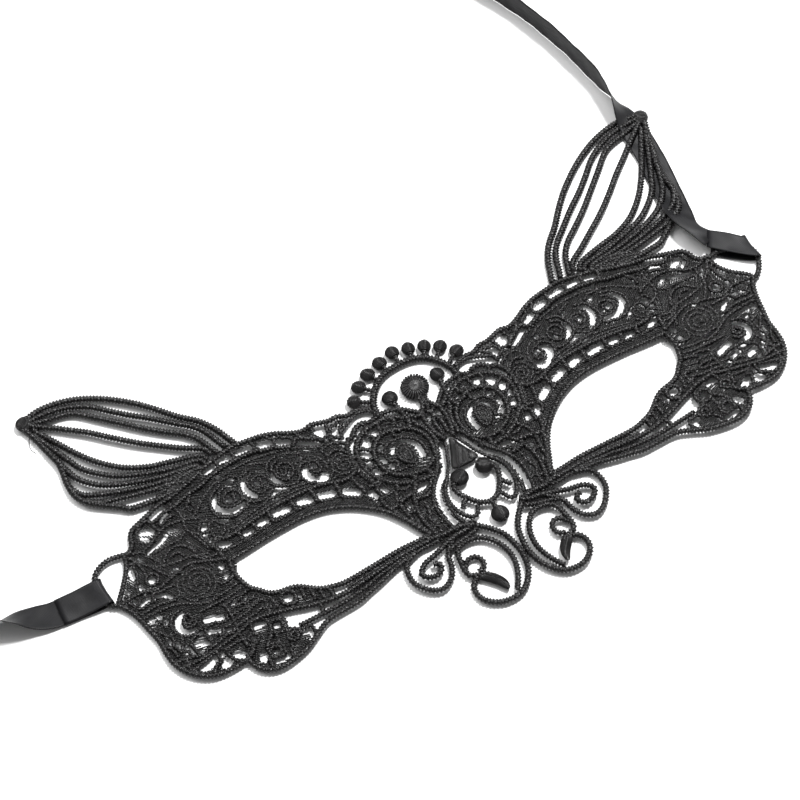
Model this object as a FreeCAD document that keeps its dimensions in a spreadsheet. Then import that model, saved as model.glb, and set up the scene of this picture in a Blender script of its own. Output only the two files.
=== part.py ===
import FreeCAD, Part
import math
import os

from FreeCAD import Placement, Rotation, Vector

# Lace cat mask with ears and two satin ties, lying face up on a table.
# X runs across the face, Y up the face towards the ears, Z up from the table.
# Plan points are in millimetres from the centre of the nose panel; every
# sub-part's Placement moves them to the middle of the whole mask.

doc = FreeCAD.newDocument("lace_cat_mask")

# --- Driving dimensions -------------------------------------------------------

DIMENSIONS = [
    ("cord_width", 2.0, "outline cord, side to side"),
    ("fine_width", 1.7, "inner cords and rungs, side to side"),
    ("cord_height", 1.6, "cords and rungs, through the lace"),
    ("satin_height", 3.0, "raised satin buds and dots, through the lace"),
    ("satin_slope", 0.6, "slope round a bud's edges"),
    ("mid_height", 1.5, "middle of the lace above the table"),
    ("centre_rise", 16.7, "nose panel centre to the middle of the mask, up the face"),
    ("wrap_line", 39.0, "fold line of a side panel, out from the middle"),
    ("fold_gap", 1.0, "room left between the lace on each side of a fold line"),
    ("bud_radius", 4.9, "flower bud in the crown"),
    ("side_bud_radius", 2.6, "small bud beside the flower"),
    ("picot_radius", 2.4, "round picot on the crown"),
    ("picot_stem", 3.6, "picot centre to the crown's arch"),
    ("drop_radius", 3.0, "round drop under the nose panel"),
    ("curl_radius", 3.0, "satin head of a nose curl"),
    ("bar_radius", 0.95, "straight outer cord of a temple loop"),
    ("bar_length", 11.5, "straight outer cord of a temple loop"),
    ("bar_out", 126.7, "temple loop's outer cord, out from the middle"),
    ("bar_up", 15.3, "middle of the outer cord, up from the nose panel"),
    ("ribbon_width", 10.0, "satin ribbon"),
    ("ribbon_thickness", 0.25, "satin ribbon, one layer"),
    ("ribbon_clearance", 0.25, "ribbon's fold round the loop's cord"),
    ("fold_length", 15.0, "doubled and sewn end of a ribbon"),
    ("coil_radius", 50.0, "middle of the coiled ribbon's turns"),
    ("coil_depth", 9.0, "coiled ribbon, inside to outside"),
]

sheet = doc.addObject("Spreadsheet::Sheet", "sizes")
for row, (alias, value, note) in enumerate(DIMENSIONS, start=1):
    sheet.set("A%d" % row, str(value))
    sheet.set("B%d" % row, note)
    sheet.setAlias("A%d" % row, alias)
doc.recompute()


def size(alias):
    return float(sheet.get(alias))


CORD = size("cord_width")
FINE = size("fine_width")

# --- Plan shapes: faces in the XY plane -----------------------------------------


def facing_up(face):
    """Faces fuse into one only where they look the same way."""
    if face.normalAt(0, 0).z < 0:
        face.reverse()
    return face


def strand(points, width=CORD):
    """A cord with round ends along a smooth line through the points."""
    line = Part.BSplineCurve()
    line.interpolate([Vector(x, y, 0) for x, y in points])
    steps = max(6, int(line.length() / 1.6))
    marks = [line.parameterAtDistance(line.length() * i / steps) for i in range(steps + 1)]
    sides = {1: [], -1: []}
    for mark in marks:
        along = line.tangent(mark)[0]
        across = Vector(-along.y, along.x, 0) * (width / 2)
        for side in sides:
            sides[side].append(line.value(mark) + across * side)
    head = line.value(marks[0]) - line.tangent(marks[0])[0] * (width / 2)
    tail = line.value(marks[-1]) + line.tangent(marks[-1])[0] * (width / 2)
    left, right = Part.BSplineCurve(), Part.BSplineCurve()
    left.interpolate(sides[1])
    right.interpolate(sides[-1])
    edges = [
        left.toShape(),
        Part.Arc(sides[1][-1], tail, sides[-1][-1]).toShape(),
        right.toShape(),
        Part.Arc(sides[-1][0], head, sides[1][0]).toShape(),
    ]
    return facing_up(Part.Face(Part.Wire(Part.__sortEdges__(edges))))


def rungs(pairs, width=FINE):
    """Short straight cords, each from one point to another."""
    return [strand([a, ((a[0] + b[0]) / 2, (a[1] + b[1]) / 2), b], width) for a, b in pairs]


def disc(x, y, radius):
    edge = Part.Circle(Vector(x, y, 0), Vector(0, 0, 1), radius).toShape()
    return facing_up(Part.Face(Part.Wire([edge])))


def ring(x, y, radius, width=FINE):
    return disc(x, y, radius + width / 2).cut(disc(x, y, radius - width / 2))


def patch(points):
    """A solid satin filling with a smooth closed outline."""
    line = Part.BSplineCurve()
    line.interpolate([Vector(x, y, 0) for x, y in points], PeriodicFlag=True)
    return facing_up(Part.Face(Part.Wire([line.toShape()])))


def panel(points):
    corners = [Vector(x, y, 0) for x, y in points]
    return facing_up(Part.Face(Part.makePolygon(corners + corners[:1])))


def merged(faces):
    """One face for each joined group: the fused faces' outer and hole edges, without those between them."""
    if len(faces) == 1:
        return faces[0]
    split = faces[0].multiFuse(faces[1:])
    free = [edge for edge in split.Edges if len(split.ancestorsOfType(edge, Part.Face)) == 1]
    loops = [Part.Wire(group) for group in Part.sortEdges(free)]
    return Part.makeFace(Part.Compound(loops), "Part::FaceMakerBullseye")


# --- Regions: the middle, a side panel and an ear --------------------------------

FAR = 400.0
SLIVER = 1.5
HALF_GAP = size("fold_gap") / 2
WRAP = size("wrap_line")
EAR_INNER = Vector(60.0, 44.9, 0)
EAR_OUTER = Vector(96.0, 35.3, 0)


def ear_side_of_fold(offset, upward):
    """Everything above, or below, the ear's fold line moved up by offset."""
    along = (EAR_OUTER - EAR_INNER).normalize()
    across = Vector(-along.y, along.x, 0)
    start = EAR_INNER - along * FAR + across * offset
    end = EAR_INNER + along * FAR + across * offset
    reach = across * (FAR if upward else -FAR)
    return Part.Face(Part.makePolygon([start, end, end + reach, start + reach, start]))


INNER_EDGE = WRAP - HALF_GAP
MIDDLE = panel([(-INNER_EDGE, -FAR), (INNER_EDGE, -FAR), (INNER_EDGE, FAR), (-INNER_EDGE, FAR)])
SIDE = panel([(WRAP + HALF_GAP, -FAR), (FAR, -FAR), (FAR, FAR), (WRAP + HALF_GAP, FAR)])
SIDE = SIDE.common(ear_side_of_fold(-HALF_GAP, False))
EAR = ear_side_of_fold(HALF_GAP, True)

# --- Laying lace pieces -----------------------------------------------------------

pieces = []
laid = {}


def finish(feature, label):
    feature.Label = label
    pieces.append(feature)
    return feature


def plan_placement(height=0.0):
    return Placement(Vector(0, -size("centre_rise"), height), Rotation())


def lay(label, region, faces, region_face, mirrored=True):
    """Fuse faces, keep what lies in the region and clear of pieces laid before, and thicken them."""
    plan = merged(faces).common(region_face)
    box = plan.BoundBox
    near = [other for other in laid.get(region, []) if other.BoundBox.intersect(box)]
    if near:
        plan = plan.cut(near)
    laid.setdefault(region, []).append(plan)
    thickness = size("cord_height")
    solids = [face.extrude(Vector(0, 0, thickness)) for face in plan.Faces if face.Area > SLIVER]
    shape = solids[0] if len(solids) == 1 else Part.Compound(solids)
    sides = [("right_", shape), ("left_", shape.mirror(Vector(), Vector(1, 0, 0)))] if mirrored else [("", shape)]
    for prefix, side_shape in sides:
        feature = doc.addObject("Part::Feature", prefix + label)
        feature.Shape = side_shape
        feature.Placement = plan_placement(size("mid_height") - thickness / 2)
        finish(feature, prefix + label)


def keep_clear(region, faces, both_sides=True):
    """Footprints of pieces made as primitives, which the lace round them butts against."""
    for face in faces:
        laid.setdefault(region, []).append(face)
        if both_sides:
            laid[region].append(face.mirror(Vector(), Vector(1, 0, 0)))


def round_solid(name, x, y, radius_alias, height_alias="satin_height"):
    """An upright round as a Part::Cylinder whose sizes follow the sheet."""
    solid = doc.addObject("Part::Cylinder", name)
    solid.setExpression("Radius", "sizes." + radius_alias)
    solid.setExpression("Height", "sizes." + height_alias)
    solid.Placement = Placement(Vector(x, y, 0), Rotation())
    solid.setExpression("Placement.Base.z", "sizes.mid_height - sizes.%s / 2" % height_alias)
    return solid


def domed_round(label, x, y, radius_alias):
    """One raised satin round with its edges sloped off."""
    base = round_solid(label + "_round", x, y, radius_alias)
    doc.recompute()
    rim = [i + 1 for i, edge in enumerate(base.Shape.Edges) if edge.Curve.TypeId == "Part::GeomCircle"]
    feature = doc.addObject("Part::Chamfer", label)
    feature.Base = base
    feature.Edges = [(edge, size("satin_slope"), size("satin_slope")) for edge in rim]
    feature.Placement = plan_placement()
    return finish(feature, label)


def joined(label, parts):
    feature = doc.addObject("Part::MultiFuse", label)
    feature.Shapes = parts
    feature.Placement = plan_placement()
    return finish(feature, label)


# --- Crown: bud, buds beside it and nine picots ------------------------------------

BUD = (0.0, 30.6)
SIDE_BUD = (9.3, 31.0)
ARCH = [(-15.5, 27), (-15.3, 30), (-14.2, 33), (-12, 36.2), (-9, 39), (-5, 40.7), (0, 41.25)]
ARCH = ARCH + [(-x, y) for x, y in reversed(ARCH[:-1])]
PICOTS = [(0, 46.6, 0), (5.7, 45.1, -15), (11.2, 43.1, -34), (16.1, 40.2, -48), (20.2, 35.8, -70)]
PICOTS = PICOTS + [(-x, y, -lean) for x, y, lean in PICOTS[1:]]

domed_round("crown_bud", *BUD, "bud_radius")

joined("crown_side_buds",
       [round_solid("side_bud_%d" % i, side * SIDE_BUD[0], SIDE_BUD[1], "side_bud_radius")
        for i, side in enumerate((1, -1))])

picot_solids = []
for i, (x, y, lean) in enumerate(PICOTS):
    picot_solids.append(round_solid("picot_dot_%d" % i, x, y, "picot_radius"))
    stem = doc.addObject("Part::Box", "picot_stem_%d" % i)
    stem.setExpression("Length", "sizes.fine_width - 0.3")
    stem.setExpression("Width", "sizes.picot_stem")
    stem.setExpression("Height", "sizes.cord_height")
    turn = Rotation(Vector(0, 0, 1), lean)
    corner = turn.multVec(Vector(-(FINE - 0.3) / 2, -size("picot_stem"), 0))
    stem.Placement = Placement(Vector(x, y, size("mid_height") - size("cord_height") / 2) + corner, turn)
    picot_solids.append(stem)
crown_picots = joined("crown_picots", picot_solids)

keep_clear("middle", [disc(*BUD, size("bud_radius"))], False)
keep_clear("middle", [disc(*SIDE_BUD, size("side_bud_radius"))])
doc.recompute()
picot_shape = crown_picots.Shape.copy()
picot_shape.Placement = Placement()
level = picot_shape.slice(Vector(0, 0, 1), size("mid_height"))
keep_clear("middle", [Part.Face(wire) for wire in level], False)

lay("crown_arch", "middle", [strand(ARCH, 2.4)], MIDDLE, False)
lay("crown_stalks", "middle", [
    strand([(0, 27), (0, 24), (0, 21)], 2.6),
    strand([(0, 22.5), (2.2, 20.8), (4.6, 19.0)]),
    strand([(0, 22.5), (-2.2, 20.8), (-4.6, 19.0)]),
    strand([(8.9, 29), (8.6, 27), (8.2, 24.5)]),
    strand([(-8.9, 29), (-8.6, 27), (-8.2, 24.5)]),
], MIDDLE, False)

# --- Nose panel, curls and drop -----------------------------------------------------

DROP = (0.0, -26.5)
CURL = (4.7, -8.0)
domed_round("nose_drop", *DROP, "drop_radius")
joined("nose_curl_heads",
       [round_solid("curl_head_%d" % i, side * CURL[0], CURL[1], "curl_radius")
        for i, side in enumerate((1, -1))])
keep_clear("middle", [disc(*DROP, size("drop_radius"))], False)
keep_clear("middle", [disc(*CURL, size("curl_radius"))])
SIDE_LOOP = [(8.2, -5.8), (10.2, -8.7), (11.4, -12), (11.6, -16), (10.4, -20), (8.3, -22.6), (6, -22.6),
             (5.0, -20.5)]
U_ARC = [(7.6, -9.5), (7.9, -12), (6.3, -15.5), (4, -19), (0, -20.8)]
U_ARC = U_ARC + [(-x, y) for x, y in reversed(U_ARC[:-1])]
lay("nose_curl_arc", "middle", [
    strand(U_ARC),
    strand([(0, -20.8), (0, -22.5), (0, -24.5)], FINE),
    strand([(6, -16), (7.6, -17.2), (9.3, -17.3)], FINE),
    strand([(-6, -16), (-7.6, -17.2), (-9.3, -17.3)], FINE),
    strand(SIDE_LOOP, FINE),
    strand([(-x, y) for x, y in SIDE_LOOP], FINE),
], MIDDLE, False)
lay("nose_panel", "middle", [panel([(-1.2, 6.2), (1.2, 6.2), (4.9, -4.4), (-4.9, -4.4)])], MIDDLE, False)

# --- Paisley medallions beside the crown ----------------------------------------------

RIGHT_MIDDLE = MIDDLE.common(panel([(0.02, -FAR), (FAR, -FAR), (FAR, FAR), (0.02, FAR)]))
lay("paisley_heart", "middle", [
    patch([(10.2, 9), (12.5, 13.6), (16.2, 12.8), (17, 8.5), (14, 4.2)]),
    strand([(9, 5), (8.5, 9), (10, 13), (14, 15.5), (18.5, 15.5), (21, 12.5), (21, 9), (19, 5.2)], FINE),
    strand([(14, 15.5), (13.6, 13), (13.5, 11)], FINE),
    strand([(8.5, 9), (10, 9), (11.5, 9)], FINE),
], RIGHT_MIDDLE)
lay("paisley_ring", "middle", [
    strand([(7, 4), (6, 10), (8, 15.5), (13, 19), (18.5, 19.5), (23, 16.5), (24.5, 12.5), (24, 7.5), (21.5, 3.5),
            (17, 1), (12, 0.5)]),
    strand([(9.5, 22.5), (14, 24.5), (19, 24.6), (24, 23.3), (28, 19.8), (29.5, 15.3), (29.3, 10), (27, 5), (23, 1),
            (18, -1.7), (12, -2.5)]),
] + rungs([((18.5, 19.5), (17.5, 24.6)), ((21, 18.2), (22.4, 24)), ((23.6, 15.2), (28.6, 18.6)),
           ((24.5, 12.5), (29.5, 15.0)), ((24.5, 10), (29.4, 11.5)), ((23, 5.5), (28, 6.5)),
           ((20.5, 12.5), (24, 14)), ((19, 15.3), (21, 18.2)), ((9, 5), (7, 4)), ((19, 5.2), (22, 4.3)),
           ((13, 19), (12, 23.8)), ((9.5, 16.8), (7.5, 21.5)), ((17, 1), (17, -1.8)), ((12, .5), (11.5, -2.5))])
    + [strand([(4.6, 19), (7, 20.5), (9.5, 22.5)], 3.0), strand([(8.2, 24.5), (9, 22), (10.5, 20)], 2.6),
       strand([(11, 26.5), (13.5, 25.5), (16, 27)], 3.0)], RIGHT_MIDDLE)
lay("shoulder_edge", "middle", [
    strand([(17, 31.5), (21, 32.3), (25, 32.2), (28, 33.6), (31, 33.6), (34, 34.4), (37, 35.3), (41, 34.8)]),
    strand([(16, 27.5), (22, 27.3), (26, 25.8), (29.8, 22.6), (31.3, 18.8), (31.5, 14)]),
] + rungs([((15.5, 27), (17, 31.5)), ((20, 27.4), (21, 32.3)), ((26.5, 31.5), (30, 28.5)), ((30, 28.5), (32.5, 25.5)),
           ((32.5, 33), (34.5, 27)), ((38, 33), (36, 28)), ((32.5, 25.5), (29.8, 22.6)), ((34.5, 27), (32.5, 25.5)),
           ((36, 28), (40, 28.5)), ((22, 27.3), (21.5, 24.2)), ((27, 25.2), (25.5, 22.5)), ((16, 27.4), (15, 24.6)),
           ((31.5, 17), (29.3, 16))]), MIDDLE)

# --- Nose bridge bands, down to the inner corner of the eye ------------------------------

lay("nose_band", "middle", [
    strand([(1.6, 8), (4, 2.6), (7.5, -4.5), (11.5, -10), (13.2, -15), (13, -20), (12, -23)]),
    strand([(5.5, 8), (6.5, 3), (10, -3.5), (14.3, -9), (16.3, -15), (16, -21), (15, -25)], 2.4),
    strand([(12, -2.5), (15.5, -6.5), (18.5, -11), (19.5, -17), (19, -22), (18, -25.5)]),
    strand([(18, -1.7), (21, -6), (22.5, -11), (23, -16), (22, -21), (21.5, -24)]),
    strand([(23, 1), (25, -2.5), (26.5, -7), (26, -12), (24.5, -17), (23.2, -21)]),
    strand([(27, 5), (30, 0.5), (30.8, -3.5), (28.8, -9), (26.5, -14), (24.6, -18)]),
    strand([(1.6, 8), (3.8, 11), (6.2, 13)], 2.4),
    strand([(9, -26), (12, -24.5), (15.5, -24), (20, -24.2), (24.5, -23)], 2.6),
    strand([(8.5, -24.5), (11.5, -26), (16, -26.3), (20.5, -27.5)], 2.6),
] + rungs([((12, -2.5), (10, -3.5)), ((16.5, -8), (21.5, -8)), ((14.3, -9), (17.5, -9)), ((22.5, -11), (26.3, -10.5)),
           ((16.2, -14), (19.2, -14)), ((19.4, -15), (23, -15)), ((16.2, -19), (19.3, -19.5)), ((19.3, -20), (22.3, -20)),
           ((21, -5.5), (25.8, -5)), ((20, -3.8), (24.3, -1)), ((27, 5), (31.8, 4.2)), ((13.2, -15), (16.3, -15)),
           ((24.5, -1.8), (30.6, -2)), ((13, -21), (16, -21)), ((26.3, -7.5), (29.6, -7.5)), ((7.5, -4.5), (10, -3.5))]),
    RIGHT_MIDDLE)

# --- Big and small scrolls under the eyes' inner corners ---------------------------------

lay("nose_scroll", "middle", [
    strand([(9, -26), (5.5, -29.5), (2.5, -34), (1.35, -39), (1.15, -43), (2.1, -48), (4.5, -52), (8, -54.7),
            (12, -55.3), (16, -54.3), (19.3, -51.7), (20.7, -48.5), (20.2, -45.3), (18, -43.3), (15.5, -42.8)]),
    strand([(19.3, -39.5), (19.5, -36), (19, -33), (17.3, -30.7), (13.5, -30), (9.5, -31.2), (6.5, -34.5), (4.7, -39),
            (4.6, -44), (6.3, -49), (9, -52.8)]),
    strand([(13.2, -37.4), (13.6, -40.4), (16.4, -41.4), (19.3, -39.5)]),
    strand([(13.2, -37.4), (15, -35.9), (17.2, -36.3)]),
], RIGHT_MIDDLE)
lay("scroll_leaf", "middle", [
    patch([(17.2, -44.6), (15.4, -46.2), (13.2, -48.4), (11, -51.4), (10.4, -49.2), (11.2, -46.4), (13.2, -44.2),
           (15.2, -43.9)]),
], RIGHT_MIDDLE)
lay("small_scroll", "middle", [
    strand([(32, -25.5), (34.8, -27), (36.4, -30.5), (36.2, -35), (33, -39.3), (29, -41), (25, -39), (22.8, -35.3),
            (22, -32), (20, -29)]),
    strand([(16, -26.5), (20, -27.8), (25, -29), (30, -30.3), (32.6, -32.8), (31.5, -35), (28.5, -35.9)]),
    strand([(28.5, -35.9), (26, -34.2), (25.7, -32.3), (27.5, -31.4)]),
], RIGHT_MIDDLE)

# --- The eye's rim, brow and lower lid, on both sides of the wrap line ----------------------

EYE_TOP = [(23, -22), (25.2, -17.5), (27.6, -12.5), (31, -7.2), (35, -3.0), (40, 0.8), (45, 3.4), (50, 5.0),
           (56, 5.8), (62, 5.8), (70, 5.4), (78, 4.6), (84, 4.2)]
LOWER_BROW = [(31.5, 14), (33.8, 11.2), (38, 11), (43, 12.7), (48, 13.7), (55, 14.2), (62, 14.2), (70, 13.2), (76, 12),
              (80, 11), (86, 11.4)]
RIM_RUNGS = rungs([((31.5, 4), (33.8, 11.2)), ((35, -3), (31.5, 1.5)), ((34.5, 3), (36.5, 10.8)), ((40.5, 1.5), (41, 12)),
                   ((42, 2), (48, 9)), ((48.8, 5), (49, 13.6)), ((56.5, 6), (56.6, 14)), ((65.3, 6), (65.2, 13.8)),
                   ((71.5, 5.6), (71.6, 12.9)), ((76.8, 5), (77.2, 11.6)), ((81, 4.6), (80.6, 11)),
                   ((86, 4.4), (86, 11))], 1.9)
RIM_BASE = strand([(31.8, 0.6), (35, 2.8), (40, 5.6), (45, 7.2), (50, 8.6), (56, 9.2), (62, 9.2), (70, 8.9), (78, 8.0),
                   (84, 8.0)], 2.4)
LID_TOP = [(24, -22), (28, -21.8), (35, -21.5), (45, -22), (55, -22.4), (60, -21.5), (64, -20), (69, -16.2),
           (72, -15), (76, -14.3), (79, -12.8), (81, -10.5), (83.3, -8), (84.8, -4), (85.3, 0), (84.5, 4)]
LID_SECOND = [(26, -24), (35, -24), (45, -24.8), (55, -25.8), (60, -25.8), (65, -25), (70, -23.7), (75, -22),
              (79, -20.8), (84, -19.5), (90, -19)]
LID_BOTTOM = [(32, -25.5), (36, -25.9), (40, -26.8), (45, -28.5), (50, -30), (55, -31), (65, -31.3), (69, -32.5),
              (73, -34.7), (77, -36.7), (82, -38), (87, -38.5), (91, -37.5), (94, -35), (95.5, -31.5), (95, -29)]
BROW_EDGE = [(37, 35.3), (41, 34.8), (45, 36.3), (49, 38.5), (53, 40), (57, 40.8), (61, 41.3), (64, 41.8), (70, 40.6),
             (77, 38.9), (84, 37.0), (92, 34.8), (97, 34.2), (100, 33.3), (104, 32), (107.5, 30.7), (109.3, 28.3),
             (110, 25.8), (112, 23.8), (114, 23.4)]
BROW_SECOND = [(36, 28), (38, 28.5), (42, 30.5), (46, 32.3), (50, 34), (55, 35.3), (60, 36.2), (65, 36.4), (70, 36.2),
               (76, 35.2), (80, 33.5), (86, 32.6), (92, 30.5)]
BROW_RUNGS = rungs([((41.5, 30.5), (45, 36)), ((46, 32.3), (50, 38.5)), ((51, 34.6), (52.5, 40)), ((58, 36), (58, 41)),
                    ((65.5, 36.4), (65.5, 41.3)), ((71.8, 36), (71.8, 40)), ((77.6, 35), (78.2, 38.6)),
                    ((86, 32.6), (86.5, 36)), ((92, 30.5), (92.5, 34.8)), ((98, 30), (98.5, 33.6))])

lay("eye_corner", "middle", [
    strand(LOWER_BROW), strand(EYE_TOP), RIM_BASE, disc(34.5, 16.5, 3.6), ring(34.5, 16.5, 4.4),
    strand([(38.5, 21), (35, 22.5), (31.3, 20.5)], FINE), strand([(38.5, 25), (35, 25), (32.5, 25.5)], FINE),
    strand(BROW_SECOND[:4]), strand(LID_TOP[:4]), strand(LID_SECOND[:3]), strand(LID_BOTTOM[:4]),
] + RIM_RUNGS, MIDDLE)

lay("brow_edge", "side", [strand(BROW_EDGE)], SIDE)
lay("brow_ladder", "side", [strand(BROW_SECOND)] + BROW_RUNGS, SIDE)
lay("eye_rim", "side", [strand(EYE_TOP), RIM_BASE] + RIM_RUNGS, SIDE)

SPIRALS = [(43.5, 19.5, 2.6, 5.2), (53.5, 24.5, 2.4, 4.6), (63, 24.5, 2.4, 4.8), (73.7, 24, 2.6, 5.2),
           (83.5, 17, 2.6, 4.6)]
lay("brow_spirals", "side", [disc(x, y, core) for x, y, core, _ in SPIRALS]
    + [ring(x, y, reach) for x, y, _, reach in SPIRALS]
    + rungs([((x, y), (x - reach, y + 0.6)) for x, y, _, reach in SPIRALS]
            + [((x, y), (x + 0.8, y - reach)) for x, y, _, reach in SPIRALS]), SIDE)
lay("brow_scrollwork", "side", [
    strand(LOWER_BROW),
    strand([(39, 15), (44, 15.4), (48, 16.5), (55, 17.6), (62, 17.6), (70, 16.6), (78, 14.5), (81, 13)]),
    strand([(39, 26), (44, 27), (48, 29.5), (55, 31.6), (62, 32.4), (70, 32), (77, 30), (82, 26), (86, 23)]),
    strand([(46, 25), (48.5, 22), (50, 19), (54, 18.9), (58.5, 21), (58.2, 25), (57, 29.5)], FINE),
    strand([(58.5, 21), (63, 18.6), (68, 20), (69.5, 24), (67, 29.5)], FINE),
    strand([(69, 20), (74, 17.6), (79.5, 20), (80.5, 24.5), (77.5, 29)], FINE),
    strand([(80.5, 24.5), (82, 22.5), (83.5, 22)], FINE),
] + rungs([((44, 27), (43.5, 24)), ((50.5, 30.3), (50, 34)), ((54.5, 31.5), (54, 28.5)), ((59, 32), (60, 36)),
           ((64, 32.4), (63.5, 29)), ((68, 32.2), (68.5, 36.2)), ((74, 31), (75, 35)), ((79.5, 28), (81, 33))]), SIDE)

lay("lower_lid", "side", [
    strand(LID_TOP), strand(LID_SECOND),
    strand([(45, -26), (50, -27.5), (60, -28.5), (70, -28.5), (76, -28.3)]),
    ring(74.3, -17.8, 2.7),
] + rungs([((55, -25.8), (55, -28)), ((65, -25), (66, -28.5)), ((69, -16.2), (71.8, -17.5)), ((74.3, -20.5), (74.5, -22)),
           ((47, -24.9), (47, -26.6)), ((79, -13), (76.6, -16)), ((79.5, -20.7), (80, -12))]), SIDE)

# --- Cheek: outline cord, rosettes and curls ---------------------------------------------------

lay("cheek_edge", "side", [
    strand([(123, 8), (121, 4.5), (119.5, 0), (118.5, -5), (117.5, -10), (117.5, -15), (117, -19.5), (115, -24),
            (111.5, -27.8), (107, -30.2), (101, -30.8), (95.5, -30.5)]),
    strand(LID_BOTTOM),
], SIDE)
lay("cheek_rosettes", "side", [
    ring(86.5, -32.7, 2.5, 2.2), disc(79, -30.5, 3.0), ring(82, -24.5, 2.5, 2.0), disc(91.3, -24.8, 3.0),
] + rungs([((76, -30.5), (72, -33)), ((80, -30), (84, -31)), ((89, -32), (94.5, -33)), ((84, -23), (86, -20)),
           ((89, -23.5), (88, -19.2)), ((82, -27), (80.5, -28.5)), ((91.3, -27), (90, -30.5)),
           ((76, -28.3), (77.5, -29)), ((91, -27.5), (95.3, -30)), ((86.5, -35), (86.5, -38)),
           ((78.5, -22), (80.5, -23))], 2.0) + [
    disc(97.3, 2.3, 3.6), ring(97.3, 2.3, 5.4), disc(106.5, -8, 2.6), ring(106.5, -8, 4.4),
] + rungs([((97.3, 5), (97.3, 8)), ((100, 0.5), (103, -2.5)), ((93.5, 0), (91.5, -2)), ((106.5, -10), (106.8, -12.4)),
           ((104, -7), (101.8, -5.8))]), SIDE)
lay("cheek_mesh", "side", [
    strand([(84, -12), (92, -12), (99, -13.4), (106, -13.6), (112, -11), (117.5, -10)]),
    strand([(80.5, -15.2), (90, -15.8), (100, -19.4), (108, -21), (117, -19.5)]),
    strand([(85.5, -7), (92, -6.6), (99, -6.2), (104, -3.8), (110, -0.5), (119.5, 0)]),
    strand([(85.6, -2.5), (89, -3), (92.5, -2.6)]),
    strand([(90, -19), (96, -22), (103, -22.5), (108, -24.8), (114, -25)]),
    strand([(93, -26.5), (99, -25.5), (104, -29), (107, -30.2)]),
    strand([(111, -8), (113, -13), (112, -18), (113, -23)]),
    strand([(93.5, -9), (93.5, -15), (94.5, -21), (94, -27)]),
    strand([(103, -12.5), (104.5, -17.5), (103.5, -22.5)]),
    strand([(114.8, -4), (112, -6.5), (110.8, -8)]),
], SIDE)

# --- Temple: mesh out to the loop that holds the ribbon -----------------------------------------

bar_end = size("bar_length") / 2
loop_top = (size("bar_out"), size("bar_up") + bar_end - 0.4)
loop_bottom = (size("bar_out"), size("bar_up") - bar_end + 0.4)
lay("temple_mesh", "side", [
    strand([(86, 23), (91, 25.2), (98, 25.8), (103, 23), (108, 22), (112, 23.8)]),
    strand([(92, 30.5), (97, 29.3), (102, 31), (107.5, 30.7)]),
    strand([(86, 11.4), (90, 9.5), (95, 12), (101, 13), (107, 15), (112, 20), (114, 23.4)]),
    strand([(84.5, 4), (88, 6), (92, 7.5), (97, 9.5), (104, 7.5), (110, 7), (116, 8.6), (122, 8.4)]),
    strand([(88, 11), (90, 17), (92, 22), (91, 28)]),
    strand([(97, 12.2), (98, 18), (100, 24.5)]),
    strand([(104, 14), (106.5, 18.5), (108.5, 22.3)]),
    strand([(103.5, 7.5), (105.5, 11), (108, 15.2)]),
    strand([(92, 22), (95, 19.5), (98, 18.5), (103, 18.6), (106.8, 18.8)]),
    strand([(103, 1.5), (107, 0.2), (112, 1.5), (119.8, 1.5)]),
    strand([(86, 17), (89.5, 17), (92, 18.5)]),
    strand([(104, 31), (104.5, 27.5), (103, 23)]),
    strand([(113, 7.6), (112.5, 11), (112, 15), (112.3, 20)]),
], SIDE)

bar = doc.addObject("Part::Cylinder", "loop_bar")
bar.setExpression("Radius", "sizes.bar_radius")
bar.setExpression("Height", "sizes.bar_length")
bar.Placement = Placement(Vector(size("bar_out"), size("bar_up") - bar_end, size("mid_height")),
                          Rotation(Vector(1, 0, 0), -90))
loop_plan = merged([
    strand([(113, 24.2), (116, 24.6), (119, 25.0), (122, 24.6), (125, 23.2), loop_top]),
    strand([(123, 8.6), (125, 8.6), loop_bottom]),
    strand([(114.5, 22.5), (116, 18), (118.5, 14.5), (121.5, 11.5), (123.5, 8.8)]),
]).cut([plan for plan in laid["side"] if plan.BoundBox.XMax > 110])
laid["side"].append(loop_plan)
for prefix in ("right_", "left_"):
    cords = doc.addObject("Part::Feature", prefix + "loop_cords")
    cords.Shape = Part.Compound([face.extrude(Vector(0, 0, size("cord_height"))) for face in loop_plan.Faces])
    cords.Placement = Placement(Vector(0, 0, size("mid_height") - size("cord_height") / 2), Rotation())
    loop = doc.addObject("Part::MultiFuse", prefix + "loop_whole")
    loop.Shapes = [cords, bar]
    if prefix == "left_":
        turned = doc.addObject("Part::Mirroring", prefix + "temple_loop")
        turned.Source = loop
        turned.Normal = Vector(1, 0, 0)
        loop = turned
    loop.Placement = plan_placement()
    finish(loop, prefix + "temple_loop")

# --- Ears: ribs that spread from the base and meet at the tip -------------------------------------

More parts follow.
